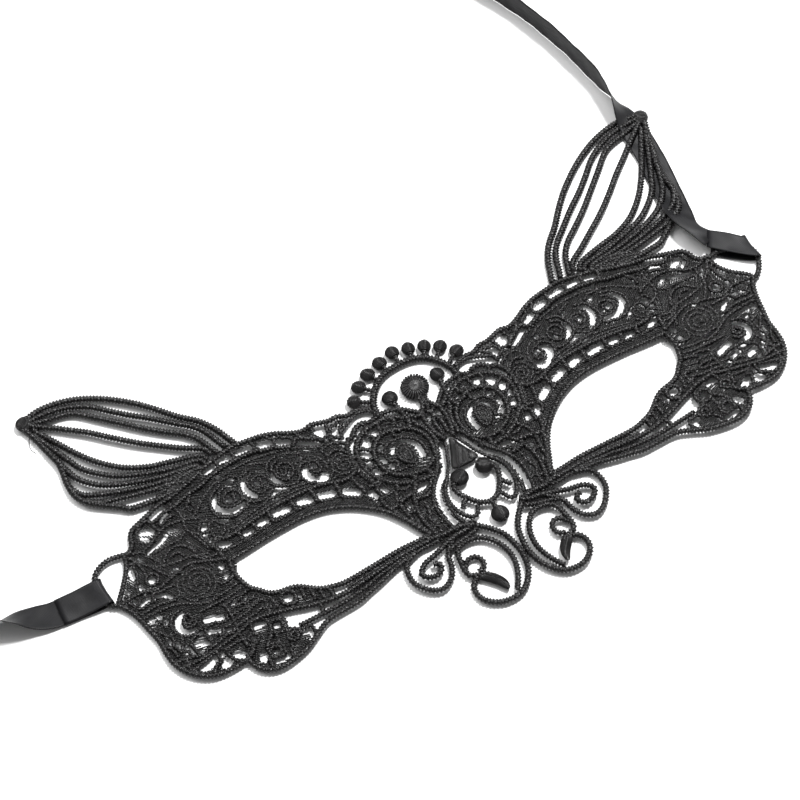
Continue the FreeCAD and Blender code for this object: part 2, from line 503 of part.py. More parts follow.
lay("ear_tip", "ear", [disc(123.2, 86.6, 2.8)], EAR)
lay("ear_edge", "ear", [
    strand([(63, 43.6), (64, 46), (66, 51), (69.5, 56.5), (75, 62), (80, 68), (85, 73.5), (90, 78), (95, 81.8),
            (100, 84.8), (105, 87), (111, 88.5), (117, 88.6), (122, 87.6)]),
    strand([(90.5, 36.6), (96, 36.9), (100, 37.5), (104.5, 38.5), (107.5, 41), (113, 45), (116.5, 48), (119, 52.5),
            (119.5, 58), (119, 63), (119, 68), (120.5, 73), (122, 79), (124, 85)]),
], EAR)
lay("ear_ribs", "ear", [
    strand([(67, 43.5), (69, 50.5), (72, 55.3), (78, 60.8), (84, 66.3), (90, 71.3), (95, 76), (100, 80.8),
            (105, 83.8), (110, 85.6), (116, 86.4), (122, 86)]),
    strand([(70, 42.5), (72.5, 50), (76, 54.5), (82, 59.3), (88, 64.5), (94, 70.3), (100, 76), (105, 80.7),
            (109, 82.8), (115, 83.3), (122, 85)]),
    strand([(72, 44.5), (79, 50), (85, 54.5), (92, 60), (99, 66.3), (105, 72), (110, 76), (115, 79.3), (122, 84.6)]),
    strand([(73.5, 43), (85, 47.5), (92, 49.5), (99, 53), (104, 57), (108.5, 61.8), (112.5, 67.5), (116.5, 73.8),
            (121.6, 83)]),
    strand([(77, 42.4), (86, 45), (95, 48), (102.5, 51.3), (108, 55.3), (112.8, 60.3), (115.5, 65.7), (118, 71.5),
            (122, 81)]),
    strand([(80, 41.4), (89, 43.5), (98.5, 46.3), (106, 49.3), (111.5, 52.8), (115.8, 57.8), (118, 63.5),
            (120.4, 72)]),
    strand([(83, 40.2), (95, 43), (104, 45.7), (111, 48.3), (116.5, 51.3), (119, 55)]),
    strand([(86.5, 38.8), (97, 41.3), (105, 43.3), (112, 45.3), (116, 47.3)]),
    patch([(77, 41.5), (84, 42.2), (92, 39.4), (95, 36.8), (88, 38)]),
], EAR)

# --- Ribbons: sewn fold round each loop, run and put-away coil --------------------------------------


LAYERS = 2 * size("ribbon_thickness")
FOLD_TURN = 3.0


def ribbon_fold(prefix, side, outer_corners):
    """The ribbon's end turned round the loop's outer cord and sewn back on itself."""
    low = size("bar_up") - size("ribbon_width") / 2
    inner = size("bar_radius") + size("ribbon_clearance")
    centre = Vector(size("bar_out"), low, size("mid_height"))
    rounds = []
    for radius in (inner + size("ribbon_thickness"), inner):
        edge = Part.Circle(centre, Vector(0, 1, 0), radius).toShape()
        rounds.append(Part.Face(Part.Wire([edge])))
    strap = [Vector(centre.x, low, 0), Vector(centre.x + side * FOLD_TURN, low, 0),
             Vector(centre.x + side * FOLD_TURN, low, LAYERS), Vector(centre.x, low, LAYERS)]
    section = rounds[0].fuse(Part.Face(Part.makePolygon(strap + strap[:1]))).cut(rounds[1])
    turn = section.Faces[0].extrude(Vector(0, size("ribbon_width"), 0))
    start_x = centre.x + side * FOLD_TURN
    flap = panel([(start_x, low), (start_x, low + size("ribbon_width"))] + outer_corners)
    whole = turn.fuse(flap.extrude(Vector(0, 0, LAYERS))).removeSplitter()
    if prefix == "left_":
        whole = whole.mirror(Vector(), Vector(1, 0, 0))
    feature = doc.addObject("Part::Feature", prefix + "ribbon_fold")
    feature.Shape = whole
    feature.Placement = plan_placement()
    return finish(feature, prefix + "ribbon_fold")


def route_plan(points, width):
    """A flat or upright strap's plan along straight runs joined by tangent arcs."""
    route = [Vector(x, y, 0) for x, y in points]
    edges, start = [], route[0]
    for before, corner, after in zip(route, route[1:], route[2:]):
        come, leave = (corner - before), (after - corner)
        run = 0.45 * min(come.Length, leave.Length)
        turn = come.getAngle(leave)
        radius = run / math.tan(turn / 2)
        print("route turn %5.1f deg, radius %6.1f mm" % (math.degrees(turn), radius))
        into, out = corner - come.normalize() * run, corner + leave.normalize() * run
        middle = into + out - corner * 2
        bend = corner + middle.normalize() * (radius / math.cos(turn / 2) - radius)
        edges += [Part.LineSegment(start, into).toShape(), Part.Arc(into, bend, out).toShape()]
        start = out
    edges.append(Part.LineSegment(start, route[-1]).toShape())
    path = Part.Wire(edges)
    sides = [path.makeOffset2D(reach, fill=True, openResult=True) for reach in (width / 2, -width / 2)]
    return path.Length, merged(sides)


def ribbon_run(prefix, flat, upright):
    """The ribbon's way to its coil, flat at first and then standing on its edge."""
    solids = []
    for points, width, height in ((flat, "ribbon_width", "ribbon_thickness"),
                                  (upright, "ribbon_thickness", "ribbon_width")):
        length, plan = route_plan(points, size(width))
        solid = plan.extrude(Vector(0, 0, size(height)))
        print("%srun %s %.1f mm, volume %.1f, section x length %.1f"
              % (prefix, height, length, solid.Volume, length * size(width) * size(height)))
        solids.append(solid)
    feature = doc.addObject("Part::Feature", prefix + "ribbon_run")
    feature.Shape = solids[0].multiFuse(solids[1:]).removeSplitter()
    feature.Placement = plan_placement()
    return finish(feature, prefix + "ribbon_run")


def ribbon_coil(prefix, x, y):
    rounds = []
    for name, sign in (("outside", "+"), ("inside", "-")):
        body = doc.addObject("Part::Cylinder", prefix + "coil_" + name)
        body.setExpression("Radius", "sizes.coil_radius %s sizes.coil_depth / 2" % sign)
        body.setExpression("Height", "sizes.ribbon_width")
        body.Placement = Placement(Vector(x, y, 0), Rotation())
        rounds.append(body)
    cut = doc.addObject("Part::Cut", prefix + "ribbon_coil")
    cut.Base, cut.Tool = rounds
    cut.Placement = plan_placement()
    return finish(cut, prefix + "ribbon_coil")


BAR = size("bar_out")
HALF = size("ribbon_width") / 2
LOW, HIGH = size("bar_up") - HALF, size("bar_up") + HALF
FOLD = size("fold_length")

ribbon_fold("left_", 1, [(BAR + FOLD, HIGH + 1.2), (BAR + FOLD, LOW + 1.2)])
ribbon_run("left_", [(-BAR - FOLD, 16.5), (-147, 17.4), (-153.5, 19.6)],
           [(-152, 19.3), (-163, 22.4), (-176, 28), (-190, 38), (-202, 52), (-211, 70), (-216.2, 90), (-217.8, 110),
            (-217.9, 129)])
ribbon_coil("left_", -165.0, 148.0)

ribbon_fold("right_", -1, [(117.2, 28.9), (112.6, 21.0)])
ribbon_run("right_", [(114.9, 25.0), (114.6, 36), (116.8, 50), (120.6, 66), (122.6, 84), (121.7, 100)],
           [(121.8, 98), (120.4, 114), (117.2, 136), (112, 158), (105.6, 176), (98.4, 189)])
ribbon_coil("right_", 148.0, 204.0)

# --- Checks and files -------------------------------------------------------------------------------

doc.recompute()
for thing in doc.Objects:
    if "Invalid" in thing.State or "Error" in thing.State:
        raise RuntimeError("%s failed: %s" % (thing.Label, thing.State))
faulty = [piece.Label for piece in pieces
          if piece.Shape.isNull() or not piece.Shape.isValid() or not piece.Shape.Solids]
if faulty:
    raise RuntimeError("no valid solid in " + ", ".join(faulty))

os.makedirs("parts", exist_ok=True)
for piece in pieces:
    piece.Shape.exportStep(os.path.join("parts", piece.Label + ".step"))
    box = piece.Shape.BoundBox
    print("%-22s %2d solids %8.1f mm3  x %7.1f %7.1f  y %7.1f %7.1f  z %5.2f %5.2f"
          % (piece.Label, len(piece.Shape.Solids), piece.Shape.Volume,
             box.XMin, box.XMax, box.YMin, box.YMax, box.ZMin, box.ZMax))
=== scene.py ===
import math

import bpy
import numpy as np
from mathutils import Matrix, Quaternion, Vector


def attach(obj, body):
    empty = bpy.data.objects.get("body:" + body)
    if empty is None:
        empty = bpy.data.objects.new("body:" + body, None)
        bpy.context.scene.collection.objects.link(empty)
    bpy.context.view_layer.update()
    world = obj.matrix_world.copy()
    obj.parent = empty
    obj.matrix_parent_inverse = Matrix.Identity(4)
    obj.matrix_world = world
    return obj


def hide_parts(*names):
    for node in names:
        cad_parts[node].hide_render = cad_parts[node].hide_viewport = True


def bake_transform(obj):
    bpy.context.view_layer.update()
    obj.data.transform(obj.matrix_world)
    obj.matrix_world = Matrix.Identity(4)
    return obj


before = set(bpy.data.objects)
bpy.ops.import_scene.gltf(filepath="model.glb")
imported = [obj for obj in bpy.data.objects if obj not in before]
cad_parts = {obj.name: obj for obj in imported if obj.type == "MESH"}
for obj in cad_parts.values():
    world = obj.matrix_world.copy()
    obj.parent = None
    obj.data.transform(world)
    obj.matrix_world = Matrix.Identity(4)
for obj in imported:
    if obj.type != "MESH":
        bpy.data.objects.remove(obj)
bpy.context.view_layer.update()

# --- Camera, table and light --------------------------------------------------------------
# A plain white table under a broad soft lamp on the right, with white light all round.
# The camera looks down on the mask from its left cheek.

CAMERA_PLACE = (-0.18575, -0.38108, 0.73460)
LOOKED_AT = (-0.00691, 0.01209, 0.0015)
CAMERA_ROLL = math.radians(-5.8)
TABLE_REACH = 2.5
# name, place, width in metres and power in watts
LAMPS = (("lamp", (0.68, 0.30, 1.28), 0.26, 33.0), ("fill", (-0.25, 0.9, 1.15), 1.2, 16.0))

camera_data = bpy.data.cameras.new("camera")
camera_data.lens = 112.5
camera_data.clip_end = 20.0
camera = bpy.data.objects.new("camera", camera_data)
camera.location = CAMERA_PLACE
looking = Vector(LOOKED_AT) - camera.location
camera.rotation_mode = "QUATERNION"
upright = looking.to_track_quat("-Z", "Y")
camera.rotation_quaternion = upright @ Quaternion((0, 0, 1), CAMERA_ROLL)
bpy.context.collection.objects.link(camera)
bpy.context.scene.camera = camera
bpy.context.scene.view_settings.view_transform = "Standard"


def plain_material(name, colour, roughness):
    material = bpy.data.materials.new(name)
    material.use_nodes = True
    shader = material.node_tree.nodes["Principled BSDF"]
    shader.inputs["Base Color"].default_value = (*colour, 1.0)
    shader.inputs["Roughness"].default_value = roughness
    return material, shader


table_material, table_shader = plain_material("white_table", (0.9, 0.9, 0.9), 0.7)
table_shader.inputs["Specular IOR Level"].default_value = 0.2
table_mesh = bpy.data.meshes.new("table")
corners = [(x * TABLE_REACH, y * TABLE_REACH, 0) for x, y in ((-1, -1), (1, -1), (1, 1), (-1, 1))]
table_mesh.from_pydata(corners, [], [(0, 1, 2, 3)])
table_mesh.materials.append(table_material)
table = bpy.data.objects.new("table", table_mesh)
bpy.context.collection.objects.link(table)

world = bpy.data.worlds.new("white_room")
world.use_nodes = True
background = world.node_tree.nodes["Background"]
background.inputs["Color"].default_value = (1.0, 1.0, 1.0, 1.0)
background.inputs["Strength"].default_value = 0.26
bpy.context.scene.world = world

for name, place, width, power in LAMPS:
    light = bpy.data.lights.new(name, "AREA")
    light.size = width
    light.energy = power
    lamp = bpy.data.objects.new(name, light)
    lamp.location = place
    lamp.rotation_mode = "QUATERNION"
    lamp.rotation_quaternion = (-Vector(place)).to_track_quat("-Z", "Y")
    bpy.context.collection.objects.link(lamp)

# --- Ribbons: two satin ties --------------------------------------------------------------
# Black satin ribbon 10 mm wide, cut and unhemmed. Each starts in the doubled end sewn
# round a temple loop, turns onto its edge and is put away in a coil on the table.

MM = 0.001
SIDES = {"left": -1, "right": 1}
RIBBON_WIDTH = 10.0 * MM
RIBBON_THICK = 0.25 * MM
LIES_FLAT_AT = 0.4 * MM
EDGE_UP = 5.4
# The plan is drawn from the middle of the nose panel, this far up from the frame's own middle.
RISE = 16.7

# How each half of the soft mask has slid, in millimetres outwards and up, and where it is
# pulled further: the place, the pull and how far it reaches.
LIES = {
    -1: ((0.6, 0.3), [((123, 87), (-2, 0), 42)]),
    1: ((-0.8, 0), [((123, 87), (4.2, 1.4), 40), ((112, 60), (-2.1, -3.7), 26),
                      ((88, -32), (0.8, 1.8), 26), ((18, -42), (-0.5, -2.4), 20)]),
}
SLIDE_FROM = 20.0


def laid_down(x, y):
    """Where a point of the evenly drawn pattern comes to lie on the table."""
    sign = 1 if x > 0 else -1
    (out, up), pulls = LIES[sign]
    for centre, pull, reach in pulls:
        share = math.exp(-(math.dist((abs(x), y), centre) / reach) ** 2)
        out, up = out + share * pull[0], up + share * pull[1]
    share = min(1.0, abs(x) / SLIDE_FROM)
    share = share * share * (3 - 2 * share)
    return x + sign * share * out, y + share * up


def placed(points, height, drawn=True):
    """Plan points in millimetres as points on the table in metres.

    A drawn point is part of the lace and slides with it.
    """
    spots = []
    for x, y, *rest in points:
        x, y = laid_down(x, y) if drawn else (x, y)
        spots.append((x * MM, (y - RISE) * MM, (rest[0] if rest else height) * MM))
    return spots


def own_object(name, mesh):
    piece = bpy.data.objects.new(name, mesh)
    bpy.context.collection.objects.link(piece)
    return piece


def as_plain_mesh(source, name):
    """The evaluated object as a plain mesh object, and the source removed."""
    graph = bpy.context.evaluated_depsgraph_get()
    mesh = bpy.data.meshes.new_from_object(source.evaluated_get(graph), depsgraph=graph)
    mesh.name = name
    data = source.data
    bpy.data.objects.remove(source)
    library = bpy.data.curves if isinstance(data, bpy.types.Curve) else bpy.data.meshes
    library.remove(data)
    return own_object(name, mesh)


def smooth_route(route):
    """The points of the NURBS line that the route's points control."""
    line = bpy.data.curves.new("route", "CURVE")
    line.dimensions = "3D"
    line.resolution_u = 10
    spline = line.splines.new("NURBS")
    spline.points.add(len(route) - 1)
    for knot, place in zip(spline.points, route):
        knot.co = (*place, 1.0)
    spline.order_u = 3
    spline.use_endpoint_u = True
    bare = as_plain_mesh(own_object("route", line), "route")
    path = [v.co.copy() for v in bare.data.vertices]
    bpy.data.objects.remove(bare)
    return path


def satin_ribbon_material():
    dark, light = (0.002, 0.002, 0.0022), (0.012, 0.012, 0.014)
    material, shader = plain_material("black_satin_ribbon", light, 0.5)
    shader.inputs["Anisotropic"].default_value = 0.4
    shader.inputs["Specular IOR Level"].default_value = 0.22
    nodes, links = material.node_tree.nodes, material.node_tree.links
    uv = nodes.new("ShaderNodeUVMap")
    uv.uv_map = "weave"
    floats = nodes.new("ShaderNodeTexWave")
    floats.wave_type, floats.bands_direction = "BANDS", "DIAGONAL"
    floats.inputs["Scale"].default_value = 900.0
    floats.inputs["Distortion"].default_value = 0.6
    links.new(uv.outputs["UV"], floats.inputs["Vector"])
    # Painted crease shading: noise patches move the ribbon's base colour between near-black and a lighter
    # black, standing in for the light and shade of crease lines.
    painted_crease_shading = nodes.new("ShaderNodeTexNoise")
    painted_crease_shading.inputs["Scale"].default_value = 260.0
    painted_crease_shading.inputs["Detail"].default_value = 4.0
    links.new(uv.outputs["UV"], painted_crease_shading.inputs["Vector"])
    tone = nodes.new("ShaderNodeValToRGB")
    tone.color_ramp.elements[0].color = (*dark, 1)
    tone.color_ramp.elements[1].color = (*light, 1)
    links.new(painted_crease_shading.outputs["Fac"], tone.inputs["Fac"])
    links.new(tone.outputs["Color"], shader.inputs["Base Color"])
    shine = nodes.new("ShaderNodeMapRange")
    shine.inputs["To Min"].default_value = 0.42
    shine.inputs["To Max"].default_value = 0.62
    links.new(floats.outputs["Fac"], shine.inputs["Value"])
    links.new(shine.outputs["Result"], shader.inputs["Roughness"])
    bump = nodes.new("ShaderNodeBump")
    bump.inputs["Strength"].default_value = 0.5
    bump.inputs["Distance"].default_value = 0.00008
    links.new(floats.outputs["Fac"], bump.inputs["Height"])
    links.new(bump.outputs["Normal"], shader.inputs["Normal"])
    return material


ribbon_satin = satin_ribbon_material()


STRIPS = 12
# Each ripple's height, how often it comes along the ribbon, and how it leans across it.
RIPPLES = ((0.12 * MM, 310, 2), (0.08 * MM, 740, -3))
EDGE_CURL = 0.35 * MM


def ribbon_band(name, path, across_ways, half_widths):
    """A woven strip along the path: its width lies along across_ways, and its edges curl a little."""
    verts, faces, weave = [], [], []
    run = 0.0
    waves = np.random.default_rng(7).uniform(0, 6.28, 2)
    for i, (point, across, half) in enumerate(zip(path, across_ways, half_widths)):
        before, after = path[max(i - 1, 0)], path[min(i + 1, len(path) - 1)]
        ahead = (after - before).normalized()
        face_way = across.cross(ahead).normalized()
        if face_way.z < 0:
            face_way = -face_way
        if i:
            run += (point - path[i - 1]).length
        for j in range(STRIPS + 1):
            s = 2 * j / STRIPS - 1
            ripple = sum(height * math.sin(run * rate + wave + skew * s)
                         for (height, rate, skew), wave in zip(RIPPLES, waves))
            verts.append(point + across * (s * half) + face_way * (ripple + EDGE_CURL * s * s))
            weave.append((run, s * half))
    for i in range(len(path) - 1):
        for j in range(STRIPS):
            a = i * (STRIPS + 1) + j
            faces.append((a, a + STRIPS + 1, a + STRIPS + 2, a + 1))
    mesh = bpy.data.meshes.new(name)
    mesh.from_pydata(verts, [], faces)
    layer = mesh.uv_layers.new(name="weave")
    for loop in mesh.loops:
        layer.data[loop.index].uv = weave[loop.vertex_index]
    for polygon in mesh.polygons:
        polygon.use_smooth = True
    mesh.materials.append(ribbon_satin)
    strip = own_object(name, mesh)
    thick = strip.modifiers.new("cloth", "SOLIDIFY")
    thick.thickness = RIBBON_THICK
    thick.offset = 0.0
    return as_plain_mesh(strip, name)


def ribbon_on_route(name, route):
    """Where the line is low the ribbon lies flat, and half a width up it stands on its edge."""
    path = smooth_route(route)
    across_ways = []
    for i, point in enumerate(path):
        before, after = path[max(i - 1, 0)], path[min(i + 1, len(path) - 1)]
        ahead = after - before
        level = Vector((-ahead.y, ahead.x, 0)).normalized()
        lift = math.asin(min(1.0, max(0.0, (point.z - LIES_FLAT_AT) / (RIBBON_WIDTH / 2))))
        across = level * math.cos(lift) + Vector((0, 0, 1)) * math.sin(lift)
        across_ways.append(across.normalized())
    return path, ribbon_band(name, path, across_ways, [RIBBON_WIDTH / 2] * len(path))


TURNS, PER_TURN, OUTER_RADIUS, TURN_GAP = 1.15, 14, 53.4, 5.6


def coil_round(centre):
    """The loosely wound rest of a ribbon, standing on its edge, from the outside in."""
    points = []
    for i in range(int(TURNS * PER_TURN) + 1):
        angle = math.pi - 2 * math.pi * i / PER_TURN
        radius = OUTER_RADIUS - TURN_GAP * i / PER_TURN
        x, y = centre[0] + radius * math.cos(angle), centre[1] + radius * math.sin(angle)
        points.append((x, y, EDGE_UP))
    return points


def rides(piece, body, slot, *nodes):
    """The piece moves with the body and stands for the nodes; the slot is not used."""
    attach(piece, body)
    if nodes:
        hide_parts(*nodes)


TIES = {
    "left": {
        "run": [(-140.5, 16.4, 0.5), (-145, 16.8, 0.6), (-150, 18.6, 1.6), (-156, 20.8, 4.2),
                (-163, 22.6, EDGE_UP), (-176, 28.2, EDGE_UP), (-190, 38, EDGE_UP),
                (-202, 52, EDGE_UP), (-211, 70, EDGE_UP), (-216.6, 90, EDGE_UP),
                (-218.4, 110, EDGE_UP), (-218.6, 130, EDGE_UP)],
        "coil": coil_round((-165, 148)),
        "exit": (-126.7, 15.3, 1.5),
    },
    "right": {
        "run": [(118.2, 28.6, 2.4), (116, 32.2, 3.2), (114.2, 37, 3.4), (115, 44, 1.8),
                (117.2, 55, 0.5), (120, 70, 0.45), (121.4, 84, 0.6), (121.3, 91.5, 3.4),
                (121, 98, EDGE_UP), (119.8, 116, EDGE_UP), (116.8, 136, EDGE_UP),
                (111.6, 156, EDGE_UP), (104.4, 173, EDGE_UP), (97.6, 187, EDGE_UP)],
        "coil": coil_round((148, 204)),
        "exit": (126.7, 15.3, 1.5),
    },
}

for side, tie in TIES.items():
    route = placed(tie["run"] + tie["coil"], 0.5, drawn=False)
    tie["path"], tie["ribbon"] = ribbon_on_route(side + "_tie", route)
    rides(tie["ribbon"], side + "_ribbon", "ribbon_satin", side + "_ribbon_run", side + "_ribbon_coil")

# --- Ribbon ends: folded round the loop and sewn ------------------------------------------
# The end of each ribbon goes round the loop's outer cord and back under itself. Its raw cut edge shows.

BAR_MIDDLE = 1.5
TURN_RADIUS = 1.5
UNDER_LAYER = 0.35
LAYER_STEPS, TURN_STEPS = 8, 12
SQUEEZED = 0.85
# The cord that the ribbon turns round, which way the flap goes from it (1 is away from the mask),
# the flap's length, how far its end slides up the face, how it leans, how much narrower it looks
# at its end, and how far the under layer lags. Millimetres and radians.
FOLDS = {
    "left": {"bar": (126.7, 15.3), "outward": 1, "flap": 15.2, "slide": 1.2, "lean": -0.06,
             "narrows": 0.0, "lags": 0.0, "top": 0.85},
    "right": {"bar": (127.9, 19.0), "outward": -1, "flap": 10.6, "slide": 10.4, "lean": 0.6,
              "narrows": 0.3, "lags": 2.6, "top": 1.05},
}


def fold_section(outward, flap, top):
    """Stations round the cord, from the under layer to the top one: distance out, and height."""
    stations = []
    for i in range(LAYER_STEPS + 1):
        stations.append((outward * flap * (1 - i / LAYER_STEPS), UNDER_LAYER))
    for i in range(TURN_STEPS + 1):
        angle = -math.pi / 2 - outward * math.pi * i / TURN_STEPS
        rise = TURN_RADIUS * SQUEEZED * math.sin(angle)
        stations.append((TURN_RADIUS * math.cos(angle), BAR_MIDDLE + rise))
    for i in range(1, LAYER_STEPS + 1):
        share = i / LAYER_STEPS
        drop = 1 - (1 - share) ** 2 if outward > 0 else share ** 4 * 0.3
        stations.append((outward * flap * share, BAR_MIDDLE + TURN_RADIUS * top - 1.8 * drop))
    return stations


def folded_end(name, sign, bar, outward, flap, slide, lean, narrows, lags, top):
    """The doubled end of a ribbon, turned round its loop's cord."""
    path, ways, halves = [], [], []
    for out, height in fold_section(outward, flap, top):
        share = max(0.0, (out * outward) / flap)
        lag = lags if height < BAR_MIDDLE - 0.5 else 0.0
        centre = (sign * (bar[0] + out), bar[1] + slide * share ** 1.1 - lag * share, height)
        path.append(Vector(placed([centre], 0, drawn=False)[0]))
        turned = lean * share
        ways.append(Vector((sign * math.sin(turned), math.cos(turned), 0)))
        halves.append(RIBBON_WIDTH / 2 * (1 - narrows * share))
    return ribbon_band(name, path, ways, halves)


for side, sign in SIDES.items():
    fold = folded_end(side + "_sewn_end", sign, **FOLDS[side])
    rides(fold, side + "_ribbon", "ribbon_satin", side + "_ribbon_fold")
    tie = TIES[side]

# --- Crown: arch with nine picots, a flower bud and two side buds -------------------------
# Machine-embroidered black polyester: cords wrapped in slanting stitches, and padded satin
# rounds. Everything in the lace is stitched in one go and stays as one web.


def add(tree, kind, inputs=None, **settings):
    """A node with its settings and its inputs, each a value or another node's output."""
    node = tree.nodes.new(kind)
    for key, value in settings.items():
        setattr(node, key, value)
    for key, value in (inputs or {}).items():
        socket = node.inputs[key]
        if isinstance(value, bpy.types.NodeSocket):
            tree.links.new(value, socket)
        else:
            socket.default_value = value
    return node


def calc(tree, operation, first, second):
    return add(tree, "ShaderNodeMath", {0: first, 1: second}, operation=operation).outputs[0]


def store_on_points(tree, shape, name, value):
    return add(tree, "GeometryNodeStoreNamedAttribute",
               {"Geometry": shape.outputs[0], "Name": name, "Value": value},
               data_type="FLOAT", domain="POINT")


def stitched_cord_tree():
    """Smooths each line, winds a two-lobed thread round it and flattens the result a little."""
    tree = bpy.data.node_groups.new("stitched_cord", "GeometryNodeTree")
    face = tree.interface
    face.new_socket("Geometry", in_out="INPUT", socket_type="NodeSocketGeometry")
    sizes = {"Stitch Step": 0.22e-3, "Turn": 2.3e-3, "Ridge": 0.27, "Flatness": 0.85,
             "Middle Height": 1.5e-3, "Lift": 0.6e-3, "Lift Scale": 15.0}
    for label, value in sizes.items():
        face.new_socket(label, in_out="INPUT", socket_type="NodeSocketFloat").default_value = value
    face.new_socket("Sides", in_out="INPUT", socket_type="NodeSocketInt").default_value = 8
    face.new_socket("Thread", in_out="INPUT", socket_type="NodeSocketMaterial")
    face.new_socket("Geometry", in_out="OUTPUT", socket_type="NodeSocketGeometry")
    given = add(tree, "NodeGroupInput").outputs

    line = add(tree, "GeometryNodeCurveSplineType",
               {"Curve": given["Geometry"]}, spline_type="CATMULL_ROM")
    line = add(tree, "GeometryNodeSetSplineResolution",
               {"Geometry": line.outputs[0], "Resolution": 10})
    line = add(tree, "GeometryNodeResampleCurve",
               {"Curve": line.outputs[0], "Length": given["Stitch Step"]}, mode="LENGTH")
    length = add(tree, "GeometryNodeSplineParameter").outputs["Length"]
    line = store_on_points(tree, line, "along", length)
    turned = calc(tree, "MULTIPLY", calc(tree, "DIVIDE", length, given["Turn"]), 2 * math.pi)
    line = add(tree, "GeometryNodeSetCurveTilt", {"Curve": line.outputs[0], "Tilt": turned})

    ring = add(tree, "GeometryNodeCurvePrimitiveCircle",
               {"Resolution": given["Sides"], "Radius": 1.0}, mode="RADIUS")
    around = add(tree, "GeometryNodeSplineParameter").outputs["Factor"]
    lobes = calc(tree, "COSINE", calc(tree, "MULTIPLY", around, 4 * math.pi), 0.0)
    swell = calc(tree, "ADD", 0.93, calc(tree, "MULTIPLY", lobes, given["Ridge"]))
    where = add(tree, "GeometryNodeInputPosition").outputs[0]
    lobed = add(tree, "ShaderNodeVectorMath", {0: where, "Scale": swell}, operation="SCALE")
    profile = add(tree, "GeometryNodeSetPosition",
                  {"Geometry": ring.outputs["Curve"], "Position": lobed.outputs[0]})
    profile = store_on_points(tree, profile, "around", around)
    radius = add(tree, "GeometryNodeInputRadius").outputs[0]
    cord = add(tree, "GeometryNodeCurveToMesh",
               {"Curve": line.outputs[0], "Profile Curve": profile.outputs[0],
                "Scale": radius, "Fill Caps": True})

    place = add(tree, "ShaderNodeSeparateXYZ", {0: add(tree, "GeometryNodeInputPosition").outputs[0]})
    above = calc(tree, "SUBTRACT", place.outputs["Z"], given["Middle Height"])
    squeezed = calc(tree, "MULTIPLY", above, calc(tree, "SUBTRACT", given["Flatness"], 1.0))
    plan = add(tree, "ShaderNodeCombineXYZ",
               {"X": place.outputs["X"], "Y": place.outputs["Y"], "Z": 0.0})
    swells = add(tree, "ShaderNodeTexNoise",
                 {"Vector": plan.outputs[0], "Scale": given["Lift Scale"], "Detail": 1.0})
    raised = add(tree, "ShaderNodeMapRange",
                 {"Value": swells.outputs[0], "From Min": 0.36, "From Max": 0.68,
                  "To Min": 0.0, "To Max": given["Lift"]}, interpolation_type="SMOOTHSTEP")
    rise = calc(tree, "ADD", squeezed, raised.outputs[0])
    move = add(tree, "ShaderNodeCombineXYZ", {"X": 0.0, "Y": 0.0, "Z": rise})
    cord = add(tree, "GeometryNodeSetPosition", {"Geometry": cord.outputs[0], "Offset": move.outputs[0]})
    cord = add(tree, "GeometryNodeSetShadeSmooth", {"Geometry": cord.outputs[0]})
    cord = add(tree, "GeometryNodeRealizeInstances", {"Geometry": cord.outputs[0]})
    cord = add(tree, "GeometryNodeSetMaterial", {"Geometry": cord.outputs[0], "Material": given["Thread"]})
    add(tree, "NodeGroupOutput", {"Geometry": cord.outputs[0]})
    return tree


stitched_cord = stitched_cord_tree()


def filament_group():
    """Fine filaments round a thread: a tone and a height that change along it and round it. The tone is
    the random colour of the dyed thread plus a painted glint on each filament's ridge.
    """
    group = bpy.data.node_groups.new("filaments", "ShaderNodeTree")
    face = group.interface
    sizes = {"Along": 0.0, "Around": 0.0, "Pitch": 0.0004, "Slant": 1.0, "Fuzz": 0.3}
    for label, value in sizes.items():
        face.new_socket(label, in_out="INPUT", socket_type="NodeSocketFloat").default_value = value
    face.new_socket("Tone", in_out="OUTPUT", socket_type="NodeSocketFloat")
    face.new_socket("Height", in_out="OUTPUT", socket_type="NodeSocketFloat")
    given = add(group, "NodeGroupInput").outputs
    phase = calc(group, "ADD", calc(group, "DIVIDE", given["Along"], given["Pitch"]),
                 calc(group, "MULTIPLY", given["Around"], given["Slant"]))
    ridge = calc(group, "SINE", calc(group, "MULTIPLY", phase, 2 * math.pi), 0.0)
    where = add(group, "ShaderNodeTexCoord").outputs["Object"]
    fluff = add(group, "ShaderNodeTexNoise", {"Vector": where, "Scale": 2600.0, "Detail": 3.0})
    rough = calc(group, "MULTIPLY", fluff.outputs["Fac"], given["Fuzz"])
    height = calc(group, "ADD", calc(group, "MULTIPLY", ridge, 0.5), rough)
    dye_and_glint = add(group, "ShaderNodeTexNoise", {"Vector": where, "Scale": 420.0, "Detail": 2.0})
    # Painted glint: each filament ridge adds to the tone, so the ridges come out lighter, on top of the
    # random colour of the dyed thread.
    tone = calc(group, "ADD", calc(group, "MULTIPLY", ridge, 0.14), dye_and_glint.outputs["Fac"])
    add(group, "NodeGroupOutput", {"Tone": tone, "Height": height})
    return group


filaments = filament_group()


